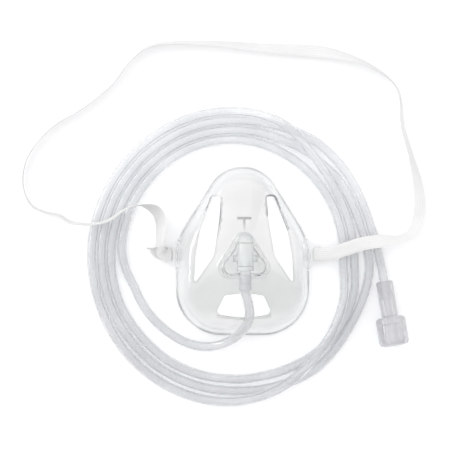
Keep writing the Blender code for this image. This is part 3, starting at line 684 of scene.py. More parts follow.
def front_profile(reach):
    """Points (distance in, height) up the wall, over the bend and along the panel to the seat's foot."""
    rim = Vector((0, RIM_RADIUS))
    bend = Vector((WALL_INSET, WALL_HEIGHT))
    foot = Vector((reach, DOME_HEIGHT))
    before = bend + (rim - bend).normalized() * BEND_REACH
    after = bend + (foot - bend).normalized() * BEND_REACH
    points = [rim.lerp(before, i / 6) for i in range(1, 6)]
    points += [before.lerp(bend, i / 9).lerp(bend.lerp(after, i / 9), i / 9) for i in range(10)]
    return points + [after.lerp(foot, i / 10) for i in range(1, 11)]


def slack(point):
    """A point of the wall or panel, pushed a little by a slow noise."""
    share = fade(point.z, *SLACK_RISE) * fade(point.z, *SLACK_FALL)
    return point + noise.noise_vector(point * SLACK_SCALE) * SLACKNESS * share


def shell_rings():
    """Closed rings of points from the lip, over the rim and the front, to the top of the seat."""
    centre = Vector((0, SEAT_CENTRE_Y))
    angles = [atan2(*(point.xy - centre).yx) for point in face_line]
    feet = [seat_point(angle, SEAT_FLARE) for angle in angles]
    roll = arc((RIM_RADIUS, RIM_RADIUS), RIM_RADIUS, 270, 180, 7)
    lip = [Vector((LIP_REACH, 0)), Vector((LIP_REACH * 0.7, 0)), *roll]
    fronts = [lip + front_profile((foot - point.xy).length) for point, foot in zip(face_line, feet)]
    rings = []
    for profile in zip(*fronts):
        rings.append([
            slack((point.xy + (foot - point.xy).normalized() * inset).to_3d() + Vector((0, 0, height)))
            for point, foot, (inset, height) in zip(face_line, feet, profile)
        ])
    flare = ((0.55, 0.45), (0.25, 1), (0, 2))
    walls = [(SEAT_FLARE * out, DOME_HEIGHT + SEAT_FLARE * up) for out, up in flare]
    walls += arc((-SEAT_ROUND - SEAT_LEAN, SEAT_TOP - SEAT_ROUND), SEAT_ROUND, 8, 90, 6)
    for outset, height in walls:
        rings.append([(*seat_point(angle, outset), height) for angle in angles])
    rings.append([
        (SEAT_HOLE_RING * cos(angle), SEAT_CENTRE_Y + SEAT_HOLE_RING * sin(angle), SEAT_TOP)
        for angle in angles
    ])
    return rings


def ringed_surface(name, rings):
    """Open surface through closed rings, the last one filled, with its outside facing out."""
    mesh = bmesh.new()
    loops = [[mesh.verts.new(point) for point in ring] for ring in rings]
    for one, two in zip(loops, loops[1:]):
        for i in range(len(one)):
            j = (i + 1) % len(one)
            mesh.faces.new((one[i], two[i], two[j], one[j]))
    hub = mesh.verts.new(sum((vert.co for vert in loops[-1]), Vector()) / len(loops[-1]))
    for i in range(len(loops[-1])):
        mesh.faces.new((loops[-1][i], hub, loops[-1][(i + 1) % len(loops[-1])]))
    return finished(name, mesh)


def thicken(piece, thickness):
    """Give a surface its wall, inwards."""
    wall = piece.modifiers.new("wall", "SOLIDIFY")
    wall.thickness = thickness
    wall.offset = -1
    wall.use_even_offset = True


shell = ringed_surface("clear_mask_shell", shell_rings())
shell_surface = BVHTree.FromPolygons(
    [vert.co[:] for vert in shell.data.vertices], [face.vertices[:] for face in shell.data.polygons]
)
thicken(shell, SHELL_WALL)
print("shell surface", len(shell.data.polygons), "faces")

# %% [markdown]
# ## Windows, ears and the rib
#
# Two long side windows and one chin window are cut right through. On the real mask each window has a
# thickened rounded border, which is what draws the dark line round it, so a bead is swept round each
# cut and joined on. The ears are flat plates with a slot for the strap, and a small rib with a cross bar
# stands on the column above the seat.

# %% Windows with beads, ears and rib
SIDE_WINDOW = (
    (0.0140, 0.0362, 0.0022), (0.0203, 0.0362, 0.0026), (0.0292, 0.0130, 0.0400), (0.0320, -0.0040, 0.0400),
    (0.0328, -0.0236, 0.0016), (0.0188, -0.0030, 0.0080), (0.0152, 0.0200, 0.0300),
)
CHIN_WINDOW = (
    (0.0130, -0.0275, 0.0030), (0.0193, -0.0408, 0.0035), (0.0000, -0.0440, 0.0600),
    (-0.0193, -0.0408, 0.0035), (-0.0130, -0.0275, 0.0030), (0.0000, -0.0258, 0.0400),
)
WINDOW_CUT_FROM = 0.0036
WINDOW_CUT_TO = SEAT_TOP + 0.003
BEAD_RADIUS = 0.00068
BEAD_SIDES = 12
BEAD_SPACING = 0.0009
EAR_TIP_X = 0.0516
EAR_TIP_HALF = 0.0052
EAR_TIP_ROUND = 0.0026
EAR_ROOT = (-0.0135, 0.0095)
EAR_EDGE = 0.0004
SLOT_ROUND = 0.0009
SLOT_CUT_TO = EAR_TOP_Z + 0.002
RIB_LENGTH = 0.0100
RIB_SOLID = 0.0030
RIB_HALF = 0.0009
RIB_RISE = 0.0013
RIB_EDGE = 0.0003
BAR_HALF_LENGTH = 0.0050
BAR_HALF = 0.0008
BAR_RISE = 0.0007
STEM_HOLE_RADIUS = STEM_RADIUS + SEAT_GAP
bead_lines = []


def shell_height(x, y):
    """Height of the shell's outer surface over a place on the table."""
    return shell_surface.ray_cast(Vector((x, y, 0.1)), Vector((0, 0, -1)))[0].z


def window_bead(name, outline):
    """Round bead along a window's border, at the middle of the wall."""
    line = [point.to_3d() for point in (*outline, outline[0])]
    line = even_points(line, BEAD_SPACING)[:-1]
    for point in line:
        point.z = shell_height(point.x, point.y) - SHELL_WALL * 0.5
    bead_lines.append(line)
    mesh = bmesh.new()
    turns = [2 * pi * i / BEAD_SIDES for i in range(BEAD_SIDES)]
    loops = []
    for index, point in enumerate(line):
        along = (line[(index + 1) % len(line)] - line[index - 1]).normalized()
        side = along.cross(Vector((0, 0, 1))).normalized()
        up = side.cross(along)
        spokes = [side * cos(turn) + up * sin(turn) for turn in turns]
        loops.append([mesh.verts.new(point + spoke * BEAD_RADIUS) for spoke in spokes])
    for one, two in zip(loops, loops[1:] + loops[:1]):
        for i in range(BEAD_SIDES):
            j = (i + 1) % BEAD_SIDES
            mesh.faces.new((one[i], one[j], two[j], two[i]))
    bmesh.ops.recalc_face_normals(mesh, faces=mesh.faces)
    return finished(name, mesh)


def ear_steps(side):
    """The boolean steps that add one slotted ear."""
    low, high = EAR_ROOT
    inner = [point.xy for point in face_line if point.x > 0 and low < point.y < high]
    tip = rounded((
        (inner[-1].x, inner[-1].y, 0),
        (EAR_TIP_X, EAR_CENTRE_Y - EAR_TIP_HALF, EAR_TIP_ROUND),
        (EAR_TIP_X, EAR_CENTRE_Y + EAR_TIP_HALF, EAR_TIP_ROUND),
        (inner[0].x, inner[0].y, 0),
    ), 8)[1:-1]
    outline = [Vector((point.x - SHELL_WALL * 0.6, point.y)) for point in inner] + tip
    low, high = EAR_CENTRE_Y - STRAP_WIDTH / 2 - SEAT_GAP, EAR_CENTRE_Y + STRAP_WIDTH / 2 + SEAT_GAP
    slot = ((SLOT_INNER_X, low), (SLOT_OUTER_X, low), (SLOT_OUTER_X, high), (SLOT_INNER_X, high))
    slot = rounded([(x, y, SLOT_ROUND) for x, y in slot])
    plate = prism("ear", [(side * x, y) for x, y in outline], EAR_LOW, EAR_TOP_Z, EAR_EDGE)
    hole = prism("slot", [(side * x, y) for x, y in slot], 0.0, SLOT_CUT_TO)
    return ("UNION", plate), ("DIFFERENCE", hole)


RIB_START = seat_point(pi / 2).y - SHELL_WALL / 2
RIB_END = RIB_START + RIB_LENGTH
RIB_HIGH = shell_height(0, RIB_START + RIB_SOLID)
RIB_LOW = shell_height(0, RIB_END)
RIB_SLOPE = (RIB_LOW - RIB_HIGH) / (RIB_END - RIB_START - RIB_SOLID)


def shell_line(y):
    """Height of the panel on its middle line, under the rib."""
    return RIB_LOW + RIB_SLOPE * (y - RIB_END)


def rib_part(name, half, near, far, rise):
    """One straight bar of the rib, sunk into the wall and a little narrower at its top."""
    mesh = bmesh.new()
    feet = [(x, y, shell_line(y)) for x, y in ((-half, near), (half, near), (half, far), (-half, far))]
    low = [mesh.verts.new((x, y, z - SHELL_WALL * 0.75)) for x, y, z in feet]
    high = [mesh.verts.new((x * 0.88, y, z + rise)) for x, y, z in feet]
    close_plate(mesh, low, high)
    soften(mesh, [e for e in mesh.edges if e.verts[0] in high or e.verts[1] in high], RIB_EDGE)
    return "UNION", finished(name, mesh)


cuts, beads = [], []
for name, corners in (
    ("side_window_right", SIDE_WINDOW),
    ("side_window_left", [(-x, y, radius) for x, y, radius in SIDE_WINDOW]),
    ("chin_window", CHIN_WINDOW),
):
    window = rounded(corners, 8)
    cuts.append(("DIFFERENCE", prism(name, window, WINDOW_CUT_FROM, WINDOW_CUT_TO)))
    beads.append(("UNION", window_bead(name + "_bead", window)))
hole_profile = ((0, 0.04, 0), (STEM_HOLE_RADIUS, 0.04, 0), (STEM_HOLE_RADIUS, 0.027, 0), (0, 0.027, 0))
stem_hole = lathe("stem_hole", hole_profile, (0, SEAT_CENTRE_Y, 0), (0, 0, 1))
rib = rib_part("rib", RIB_HALF, RIB_START, RIB_END, RIB_RISE)
bar = rib_part("bar", BAR_HALF_LENGTH, RIB_END - BAR_HALF, RIB_END + BAR_HALF, BAR_RISE)
shaped(shell, *cuts, *beads, *ear_steps(1), *ear_steps(-1), ("DIFFERENCE", stem_hole), rib, bar)
print("shell with", len(cuts), "windows, two ears and a rib,", len(shell.data.polygons), "faces")

# %% [markdown]
# ## Painted dark lines on the shell's borders
#
# A thick rounded border bends the light so far aside that it mirrors the dark part of the room, but not
# everywhere alike: it shows most on the side away from the light. That dark line is painted: a point
# attribute on the mesh keeps how strongly the painted line shows at each place, on the window beads, along
# the rim and on the rib's top, and the shell's material mixes its dark border colour in by it.

# %% Painted dark lines on the thick borders
SHADE_SIDE = Vector((0.8, -0.6))
BEAD_GRASP = BEAD_RADIUS + 0.0002
CHIN_BORDER_Y = -0.0400
LEFT_BORDER_Y = -0.0150
RIGHT_BORDER_Y = 0.0230
RIM_BAND = 0.0032
RIM_TOP = (0.0038, 0.0014)
EAR_SHADE_HALF = 0.0110
EAR_SHADE_X = 0.0400
# Where the rib's top gets painted shade
RIB_SHADE_HALF = 0.0056
RIB_SHADE_FROM = 0.0135
RIB_SHADE_TO = 0.0235
RIB_SHADE_OVER = 0.00025


def window_line_paint(window, point):
    """How strongly the painted dark line shows on a border at a point: 0 right window, 1 left window, 2
    chin window.
    """
    if window == 2:
        return 0.75 if point.y < CHIN_BORDER_Y else 0.15
    top, bottom = Vector(SIDE_WINDOW[0]), Vector(SIDE_WINDOW[2])
    outer = abs(point.x) > top.x + (bottom.x - top.x) * (point.y - top.y) / (bottom.y - top.y)
    if window == 0:
        return 0.95 if outer or point.y > RIGHT_BORDER_Y else 0.12
    if outer:
        return 0.75 if point.y < LEFT_BORDER_Y else 0.08
    return min(max((point.y - 0.002) / 0.022, 0.12), 0.9)


def point_tree(points):
    """Search tree over points, numbered in their order."""
    tree = kdtree.KDTree(len(points))
    for index, point in enumerate(points):
        tree.insert(point, index)
    tree.balance()
    return tree


def paint_border_lines(piece):
    """Point attribute of painted shade and painted reflection: high where the moulding's borders bend the
    light into a dark line.
    """
    bead_points = [point for line in bead_lines for point in line]
    strengths = [window_line_paint(window, point) for window, line in enumerate(bead_lines) for point in line]
    beads_near = point_tree(bead_points)
    outline_near = point_tree([point.xy.to_3d() for point in face_line])
    marks = []
    for vert in piece.data.vertices:
        place = vert.co
        flat = Vector((place.x, place.y, 0))
        upright = abs(vert.normal.z)
        uneven = 0.85 + 0.6 * noise.noise(place * 90)
        _, nearest, gap = beads_near.find(place)
        on_bead = (gap < BEAD_GRASP) * (1 - fade(upright, 0.80, 0.18))
        low = (1 - fade(place.z, *RIM_TOP)) * (1 - fade(upright, 0.55, 0.30))
        on_rim = low * (outline_near.find(flat)[2] < RIM_BAND)
        beside_ear = abs(place.y - EAR_CENTRE_Y) < EAR_SHADE_HALF and abs(place.x) > EAR_SHADE_X
        shade = (0.80 + 0.25 * flat.normalized().xy.dot(SHADE_SIDE)) * (0.3 if beside_ear else 1.0)
        on_rib = abs(place.x) < RIB_SHADE_HALF and RIB_SHADE_FROM < place.y < RIB_SHADE_TO
        above = place.z > shell_line(place.y) + RIB_SHADE_OVER
        bead = on_bead * strengths[nearest] * uneven
        # Painted dark line: the strongest of the bead, rim and rib-top shade
        marks.append(min(max(bead, on_rim * shade * uneven, 0.8 * (on_rib and above)), 1.0))
    layer = piece.data.attributes.new("painted_dark_line", "FLOAT", "POINT")
    layer.data.foreach_set("value", marks)
    return sum(mark > 0.5 for mark in marks)


print("thick border on", paint_border_lines(shell), "points")
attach(shell, "root")
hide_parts("mask_shell")

# %% [markdown]
# ## The diffuser under the seat
#
# Oxygen leaves the stem through four small ports in a cup under the seat, and a mushroom-shaped pin
# spreads it over the mouth. Both show faintly through the clear shell. The cup follows the seat's rounded
# triangle, a little smaller, so its rings use the same outline.

# %% Diffuser cup and pin
CUP_TOP = SEAT_TOP - SHELL_WALL - SEAT_GAP
CUP_WALL = 0.0011
CUP_MARGIN = 0.0024
CUP_MOUTH = 0.0160
CUP_FLARE = 0.0016
CUP_ROUND = 0.0012
CUP_MIDDLE = 0.005
AROUND_CUP = 144
PORT_RADIUS = 0.0008
PORT_PLACE = 0.0026
PIN_HOLE_RADIUS = 0.0013
PIN_LENGTH = 0.0135
DRILL_UP = 0.002
DRILL_DOWN = -0.003


def cup_surface():
    """Rings from the cup's flared mouth up its wall and over its rounded top edge."""
    angles = [-2 * pi * i / AROUND_CUP for i in range(AROUND_CUP)]
    profile = [
        (CUP_FLARE, CUP_MOUTH), (CUP_FLARE, CUP_MOUTH + CUP_WALL),
        (CUP_FLARE * 0.2, CUP_MOUTH + CUP_FLARE * 2), (0, CUP_TOP - 3 * CUP_ROUND),
        *arc((-CUP_ROUND, CUP_TOP - CUP_ROUND), CUP_ROUND, 0, 90, 5),
    ]
    rings = [
        [(*seat_point(angle, outset - CUP_MARGIN), height) for angle in angles]
        for outset, height in profile
    ]
    rings.append([(CUP_MIDDLE * cos(a), SEAT_CENTRE_Y + CUP_MIDDLE * sin(a), CUP_TOP) for a in angles])
    return ringed_surface("diffuser_cup_clear", rings)


def drill(radius, x, y):
    """The boolean step for a hole through the cup's top."""
    profile = ((0, DRILL_UP, 0), (radius, DRILL_UP, 0), (radius, DRILL_DOWN, 0), (0, DRILL_DOWN, 0))
    return "DIFFERENCE", lathe("drill", profile, (x, SEAT_CENTRE_Y + y, CUP_TOP), (0, 0, 1), 24)


cup = cup_surface()
thicken(cup, CUP_WALL)
port_angles = [pi / 4 + i * pi / 2 for i in range(4)]
ports = [drill(PORT_RADIUS, PORT_PLACE * cos(a), PORT_PLACE * sin(a)) for a in port_angles]
shaped(cup, drill(PIN_HOLE_RADIUS, 0, 0), *ports)
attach(cup, "root")
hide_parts("diffuser_cup")

shoulder = CUP_TOP - CUP_WALL - SEAT_GAP
foot = shoulder - PIN_LENGTH
pin = lathe("diffuser_pin_clear", (
    (0, CUP_TOP + 0.0011, 0), (0.0010, CUP_TOP + 0.0011, 0.0002), (0.0017, CUP_TOP + 0.0006, 0.0002),
    (0.0017, CUP_TOP + 0.0003, 0.0001), (0.0010, CUP_TOP + 0.0003, 0.0001), (0.0010, shoulder, 0.0001),
    (0.0023, shoulder, 0.0003), (0.0023, shoulder - 0.0008, 0.0003), (0.0016, shoulder - 0.0016, 0.0005),
    (0.0016, foot + 0.0050, 0.0010), (0.0051, foot + 0.0015, 0.0010), (0.0055, foot + 0.0008, 0.0003),
    (0.0050, foot, 0.0003), (0, foot, 0),
), (0, SEAT_CENTRE_Y, 0), (0, 0, 1))
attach(pin, "root")
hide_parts("diffuser_pin")
print("cup", len(cup.data.polygons), "faces, pin", len(pin.data.polygons))

# %% [markdown]
# ## The nozzle
#
# The nozzle is a stiffer moulding with a domed barrel that lies across the seat. Its stem goes down into
# the cup, two pegs stand out of its sides as finger grips, and a narrow spigot points to the chin.
# Shallow grooves part the domed cap from the barrel and the barrel from its collar, and each groove
# bends the light into a dark line; that line is painted into the nozzle's colour, and the pegs get
# painted shade too.

# %% Nozzle
BARREL_NOSE_Y = 0.0118
BARREL_CHIN_Y = -0.0120
GROOVE_SLOPE = 0.0002
GROOVE_DEPTH = 0.0003
GROOVE_WIDTH = 0.0008
COLLAR_GROOVE = 0.0034
COLLAR_RADIUS = 0.0033
COLLAR_END = 0.0021
PEG_REACH = 0.0078
PEG_RADIUS = 0.0021
STEM_BORE_RADIUS = 0.0035
GAS_BORE_RADIUS = 0.0020
GAS_BORE_END_Y = -0.0200


def groove(radius, depth, top, width):
    """Half profile of one shallow groove round a turned body."""
    return [
        (radius, top, 0.0001), (radius - depth, top - GROOVE_SLOPE, 0.0001),
        (radius - depth, top - width + GROOVE_SLOPE, 0.0001), (radius, top - width, 0.0001),
    ]


def barrel_profile():
    """Half profile of the barrel along its length, from the domed end to the spigot's end."""
    length = BARREL_NOSE_Y - BARREL_CHIN_Y
    spigot_end = SPIGOT_END_Y + SEAT_GAP - BARREL_NOSE_Y
    r = BARREL_RADIUS
    dome = [(r * sin(radians(a)), r * cos(radians(a)) - r, 0) for a in range(0, 86, 6)]
    return [
        *dome, (r, -r, 0), *groove(r, GROOVE_DEPTH, -r - GROOVE_DEPTH, GROOVE_WIDTH),
        *groove(r, GROOVE_DEPTH, COLLAR_GROOVE - length, GROOVE_WIDTH), (r, -length, 0.0017),
        (COLLAR_RADIUS, -length, 0.0003), (COLLAR_RADIUS, -length - COLLAR_END, 0.0002),
        (TUBE_RADIUS, -length - COLLAR_END, 0.0001), (TUBE_RADIUS, spigot_end, 0.0004), (0, spigot_end, 0),
    ]


def rod(name, radius, low, high, place, direction, end=0.0):
    """Round bar between two heights along a direction, with rounded ends."""
    profile = ((0, high, 0), (radius, high, end), (radius, low, end), (0, low, 0))
    return lathe(name, profile, place, direction, 48)


nozzle = lathe("clear_nozzle", barrel_profile(), (0, BARREL_NOSE_Y, BARREL_Z), (0, 1, 0), 96)
STEM_LOW = CUP_TOP + SEAT_GAP
BORE_LOW = STEM_LOW - 0.001
STEM_PLACE = (0, SEAT_CENTRE_Y, 0)
PEG_PLACE = (0, SEAT_CENTRE_Y, BARREL_Z)
BORE_PLACE = (0, 0, BARREL_Z - 0.0007)
shaped(
    nozzle,
    ("UNION", rod("stem", STEM_RADIUS, STEM_LOW, BARREL_Z, STEM_PLACE, (0, 0, 1))),
    ("UNION", rod("pegs", PEG_RADIUS, -PEG_REACH, PEG_REACH, PEG_PLACE, (1, 0, 0), 0.0006)),
    ("DIFFERENCE", rod("bore", STEM_BORE_RADIUS, BORE_LOW, BARREL_Z, STEM_PLACE, (0, 0, 1), 0.0008)),
    ("DIFFERENCE", rod("gas_bore", GAS_BORE_RADIUS, GAS_BORE_END_Y, SEAT_CENTRE_Y, BORE_PLACE, (0, 1, 0))),
)


def nozzle_line_paint(place):
    """How strongly painted shade darkens a point of the nozzle: a painted dark line in the grooves, and on
    the pegs.
    """
    above = place.z - BARREL_Z
    depth = BARREL_RADIUS - (place.x * place.x + above * above) ** 0.5
    peg = 0.4 * (abs(place.x) > BARREL_RADIUS + GROOVE_DEPTH)
    barrel = -0.0100 < place.y < BARREL_NOSE_Y - BARREL_RADIUS * 0.9
    return max(peg, 0.5 * (0.00005 < depth < 0.0005 and above > 0 and barrel))


painted_nozzle_lines = nozzle.data.attributes.new("painted_dark_line", "FLOAT", "POINT")
painted_nozzle_lines.data.foreach_set("value", [nozzle_line_paint(vert.co) for vert in nozzle.data.vertices])
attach(nozzle, "root")
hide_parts("nozzle_elbow")
print("nozzle", len(nozzle.data.polygons), "faces")

# %% [markdown]
# ## The cuff and the end connector
#
# A short soft cuff grips the tube on the spigot. At the other end a smoky soft connector has a long sleeve
# over the tube and a wide cup that pushes onto the gas outlet. Both are turned bodies with rounded lips.
# The connector's inside is modelled too, since it shows through: the tube's socket, the narrow bore and
# the cup's socket with its sealing rings.

# %% Cuff and connector
CUFF_OUTER = 0.0040
SOCKET = TUBE_RADIUS + SEAT_GAP
GRIP_TOPS = [-0.0022 - 0.0015 * k for k in range(4)]
grips = [corner for top in GRIP_TOPS for corner in groove(CUFF_OUTER, 0.0002, top, 0.0007)]
cuff = lathe("soft_cuff", (
    (SOCKET, 0, 0.0001), (CUFF_OUTER, 0, 0.0003), *grips, (CUFF_OUTER, -CUFF_LENGTH, 0.0003),
    (SOCKET, -CUFF_LENGTH, 0.0001),
), (0, NECK_END_Y - SEAT_GAP, BARREL_Z), (0, 1, 0), 64, True)
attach(cuff, "root")
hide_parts("tubing_cuff")

CUP_TOTAL = SLEEVE_LENGTH + 0.0180
# The cup's mouth and its socket with two sealing rings: radius, depth from the mouth, corner radius
CUP_SOCKET = (
    (CUP_RADIUS, 0.0022, 0.002), (CUP_RADIUS - 0.0011, 0, 0.0006), (0.0072, 0, 0.0005),
    (0.0072, 0.0035, 0.0003), (0.0069, 0.0040, 0.0003), (0.0072, 0.0045, 0.0003), (0.0070, 0.0080, 0.0003),
    (0.0066, 0.0085, 0.0003), (0.0069, 0.0090, 0.0003), (0.0063, 0.0140, 0.0010), (0.0020, 0.0140, 0.0004),
)
mouth, direction = connector_frame()
connector = lathe("smoky_connector", (
    (SOCKET, 0, 0.0002), (SLEEVE_RADIUS, 0, 0.0007), (SLEEVE_RADIUS, SLEEVE_LENGTH * 0.55, 0.01),
    (SLEEVE_RADIUS - 0.0001, SLEEVE_LENGTH - 0.0010, 0.0006), (CUP_RADIUS, SLEEVE_LENGTH, 0.0024),
    *[(radius, CUP_TOTAL - depth, corner) for radius, depth, corner in CUP_SOCKET],
    (0.0020, SOCKET_DEPTH, 0.0002), (SOCKET, SOCKET_DEPTH, 0.0002),
), mouth, direction, 96, True)
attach(connector, "root")
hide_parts("end_connector")
print("cuff", len(cuff.data.polygons), "faces, connector", len(connector.data.polygons))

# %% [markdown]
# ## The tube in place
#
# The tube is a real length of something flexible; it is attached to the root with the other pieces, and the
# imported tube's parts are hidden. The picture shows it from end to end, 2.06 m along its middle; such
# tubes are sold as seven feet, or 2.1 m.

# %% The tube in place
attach(tubing, "root")
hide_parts("tubing_lead", "tubing_coil", "tubing_tail")
print("tube", round(TUBE_LENGTH, 3), "m along its middle")

# %% [markdown]
# ## The stage and the light
#
# The photograph is bright: a white table, soft light from the upper left and faint bluish shadows at the
# lower right. The floor is plain and pale, and it shows a little brighter to the camera than the lamps
# make it, so that it reads as white and still holds the shadows. The room is bright above and darker
# towards the horizon, because clear plastic is seen by what its edges mirror.

# %% Nodes in few words
def feed(tree, socket, value):
    """Give an input a value, or a link from another node's output."""
    if isinstance(value, bpy.types.NodeSocket):
        tree.links.new(value, socket)
    else:
        socket.default_value = value


def fill(tree, node, **values):
    """Values or links for a node's inputs, by name."""
    for name, value in values.items():
        feed(tree, node.inputs[name.replace("_", " ")], value)


def add_node(tree, kind, *inputs, **values):
    """New node; plain values feed its inputs in order, named ones a property or the input of that name."""
    node = tree.nodes.new("ShaderNode" + kind)
    for name, value in values.items():
        if hasattr(node, name):
            setattr(node, name, value)
        else:
            fill(tree, node, **{name: value})
    for socket, value in zip(node.inputs, inputs):
        feed(tree, socket, value)
    return node


def calculate(tree, operation, *inputs):
    """Result of a sum on sockets or plain values."""
    return add_node(tree, "Math", *inputs, operation=operation).outputs[0]


def ranged(tree, value, start, end, low=0.0, high=1.0, kind="LINEAR"):
    """A value moved from one range into another and kept inside it."""
    node = add_node(
        tree, "MapRange", Value=value, From_Min=start, From_Max=end, To_Min=low, To_Max=high,
        interpolation_type=kind,
    )
    return node.outputs["Result"]


def blend(tree, share, one, two, kind="MIX"):
    """Colour between two others; each may be a colour value or a socket."""
    mix = add_node(tree, "Mix", data_type="RGBA", blend_type=kind)
    feed(tree, mix.inputs[0], share)
    for socket, colour in ((mix.inputs[6], one), (mix.inputs[7], two)):
        feed(tree, socket, (*colour, 1) if isinstance(colour, tuple) else colour)
    return mix.outputs[2]


def new_material(name):
    """Empty node material: its tree, its Principled shader and its output."""
    material = bpy.data.materials.new(name)
    material.use_nodes = True
    tree = material.node_tree
    return material, tree, tree.nodes["Principled BSDF"], tree.nodes["Material Output"]


def any_ray(tree, *names):
    """1 for rays of any of the named kinds."""
    seen = add_node(tree, "LightPath")
    total = seen.outputs[names[0]]
    for name in names[1:]:
        total = calculate(tree, "MAXIMUM", total, seen.outputs[name])
    return total


print("node helpers ready")

# %% Floor, room and lamps
FLOOR_SIZE = 6.0
FLOOR_COLOUR = (0.805, 0.81, 0.815)
FLOOR_LIFT = 0.30
FLOOR_GAP = 0.0004
ROOM_LOW = 0.62
ROOM_HIGH = 0.92


def make_floor():
    mesh = bmesh.new()
    bmesh.ops.create_grid(mesh, x_segments=1, y_segments=1, size=FLOOR_SIZE / 2)
    floor = finished("pale_table", mesh)
    floor.location.z = -FLOOR_GAP
    material, tree, shader, _ = new_material("white_table")
    shows = any_ray(tree, "Is Camera Ray", "Is Transmission Ray", "Is Glossy Ray")
    fill(
        tree, shader, Base_Color=(*FLOOR_COLOUR, 1), Roughness=0.9, Specular_IOR_Level=0.1,
        Emission_Color=(1, 1, 1, 1), Emission_Strength=calculate(tree, "MULTIPLY", shows, FLOOR_LIFT),
    )
    floor.data.materials.append(material)
    return floor


def make_room():
    """World that is brighter overhead and towards the upper left, darker at the horizon."""
    world = bpy.data.worlds.new("studio")
    world.use_nodes = True
    tree = world.node_tree
    place = add_node(tree, "TexCoord").outputs["Generated"]
    slope = add_node(tree, "VectorMath", place, (-0.22, 0.22, 0.95), operation="DOT_PRODUCT")
    level = ranged(tree, slope.outputs["Value"], -0.10, 0.85, ROOM_LOW, ROOM_HIGH)
    strength = ranged(tree, any_ray(tree, "Is Camera Ray"), 0.0, 1.0, level, 1.0)
    fill(tree, tree.nodes["Background"], Color=(0.995, 0.995, 1.0, 1), Strength=strength)
    bpy.context.scene.world = world


def make_lamp(name, place, width, depth, power):
    """Oval softbox that faces the middle of the table."""
    data = bpy.data.lights.new(name, "AREA")
    data.shape = "ELLIPSE"
    data.size = width
    data.size_y = depth
    data.energy = power
    lamp = bpy.data.objects.new(name, data)
    lamp.location = place
    lamp.rotation_euler = Vector(place).to_track_quat("Z", "Y").to_euler()
    bpy.context.scene.collection.objects.link(lamp)
    return lamp


make_floor()
make_room()
make_lamp("key_softbox", (-0.60, 0.60, 0.95), 2.20, 2.20, 4.9)
make_lamp("long_strip", (-1.02, 0.42, 0.42), 1.20, 0.14, 2.5)
make_lamp("fill_softbox", (0.95, 0.30, 0.60), 0.90, 0.90, 1.4)
bpy.context.scene.view_settings.view_transform = "Standard"

# %% [markdown]
# ## Effects that several finishes share
#
# Three small node groups carry what the real surfaces have in common. Moulded waves are the slow unevenness
# of soft plastic. Handling haze is the faint smudges and hair-fine scratches that a glossy surface
# gathers, seen only in its roughness. Cloudy tint moves a colour between two near shades, because
# clear vinyl is never quite even. Each group gives out only a value, a colour or a normal.

# %% Shared node groups
def start_group(name, inputs, outputs):
    """Empty group with its sockets: its tree, its input node and its output node."""
    group = bpy.data.node_groups.new(name, "ShaderNodeTree")
    for label, kind, value in inputs:
        socket = group.interface.new_socket(label, in_out="INPUT", socket_type="NodeSocket" + kind)
        socket.default_value = value
    for label, kind in outputs:
        group.interface.new_socket(label, in_out="OUTPUT", socket_type="NodeSocket" + kind)
    return group, group.nodes.new("NodeGroupInput"), group.nodes.new("NodeGroupOutput")


def group_noise(group, given, scale, detail, stretch=None):
    """Noise over the object's own coordinates, at the scale that a group input gives."""
    place = add_node(group, "TexCoord").outputs["Object"]
    if stretch:
        place = add_node(group, "Mapping", Vector=place, Scale=stretch).outputs["Vector"]
    texture = add_node(group, "TexNoise", Vector=place, Scale=given.outputs[scale], Detail=detail)
    return texture.outputs["Fac"]


def make_moulded_waves():
    group, given, out = start_group(
        "moulded_waves", (("Scale", "Float", 120.0), ("Depth", "Float", 0.0002)), (("Normal", "Vector"),)
    )
    height = group_noise(group, given, "Scale", 2.0)
    bump = add_node(group, "Bump", Strength=0.6, Distance=given.outputs["Depth"], Height=height)
    fill(group, out, Normal=bump.outputs["Normal"])
    return group


def make_handling_haze():
    group, given, out = start_group("handling_haze", (
        ("Smudge Scale", "Float", 60.0), ("Scratch Scale", "Float", 900.0),
        ("Clear", "Float", 0.05), ("Dull", "Float", 0.25),
    ), (("Roughness", "Float"),))
    smudge = ranged(group, group_noise(group, given, "Smudge Scale", 4.0), 0.42, 0.78, 0.0, 0.8)
    scratch = ranged(group, group_noise(group, given, "Scratch Scale", 1.0, (1.0, 0.04, 0.3)), 0.62, 0.74)
    both = add_node(group, "Math", scratch, 0.5, smudge, operation="MULTIPLY_ADD", use_clamp=True)
    level = ranged(group, both.outputs[0], 0.0, 1.0, given.outputs["Clear"], given.outputs["Dull"])
    fill(group, out, Roughness=level)
    return group


def make_cloudy_tint():
    group, given, out = start_group(
        "cloudy_tint",
        (("Scale", "Float", 30.0), ("Pale", "Color", (1, 1, 1, 1)), ("Deep", "Color", (0.8, 0.8, 0.8, 1))),
        (("Color", "Color"),),
    )
    share = ranged(group, group_noise(group, given, "Scale", 3.0), 0.35, 0.68)
    fill(group, out, Color=blend(group, share, given.outputs["Pale"], given.outputs["Deep"]))
    return group


WAVES = make_moulded_waves()
HAZE = make_handling_haze()
TINT = make_cloudy_tint()
print("groups:", WAVES.name, HAZE.name, TINT.name)

# %% [markdown]
# ## Clear and smoky plastics
#
# Every clear piece is the same kind of shader with its own values: a nearly full transmission, a tint
# that is pale where the wall is seen straight and deeper where it is seen edge-on, because the light
# goes through more of it there, and roughness and waves from the groups. Light that only casts
# shadows goes through as a plain tint, which keeps the shadow under thin plastic as pale as it really is.
# The shell's legs beside the chin window get painted shade, a deeper tint than its panel, and its side wall
# is painted the palest, as painted light. The tube is painted a little darker towards negative Y, as shade,
# and the shell and the nozzle carry painted dark lines along their thick borders, grooves and pegs.

# %% Clear plastic
PANEL_HEIGHTS = (0.0138, 0.0192)
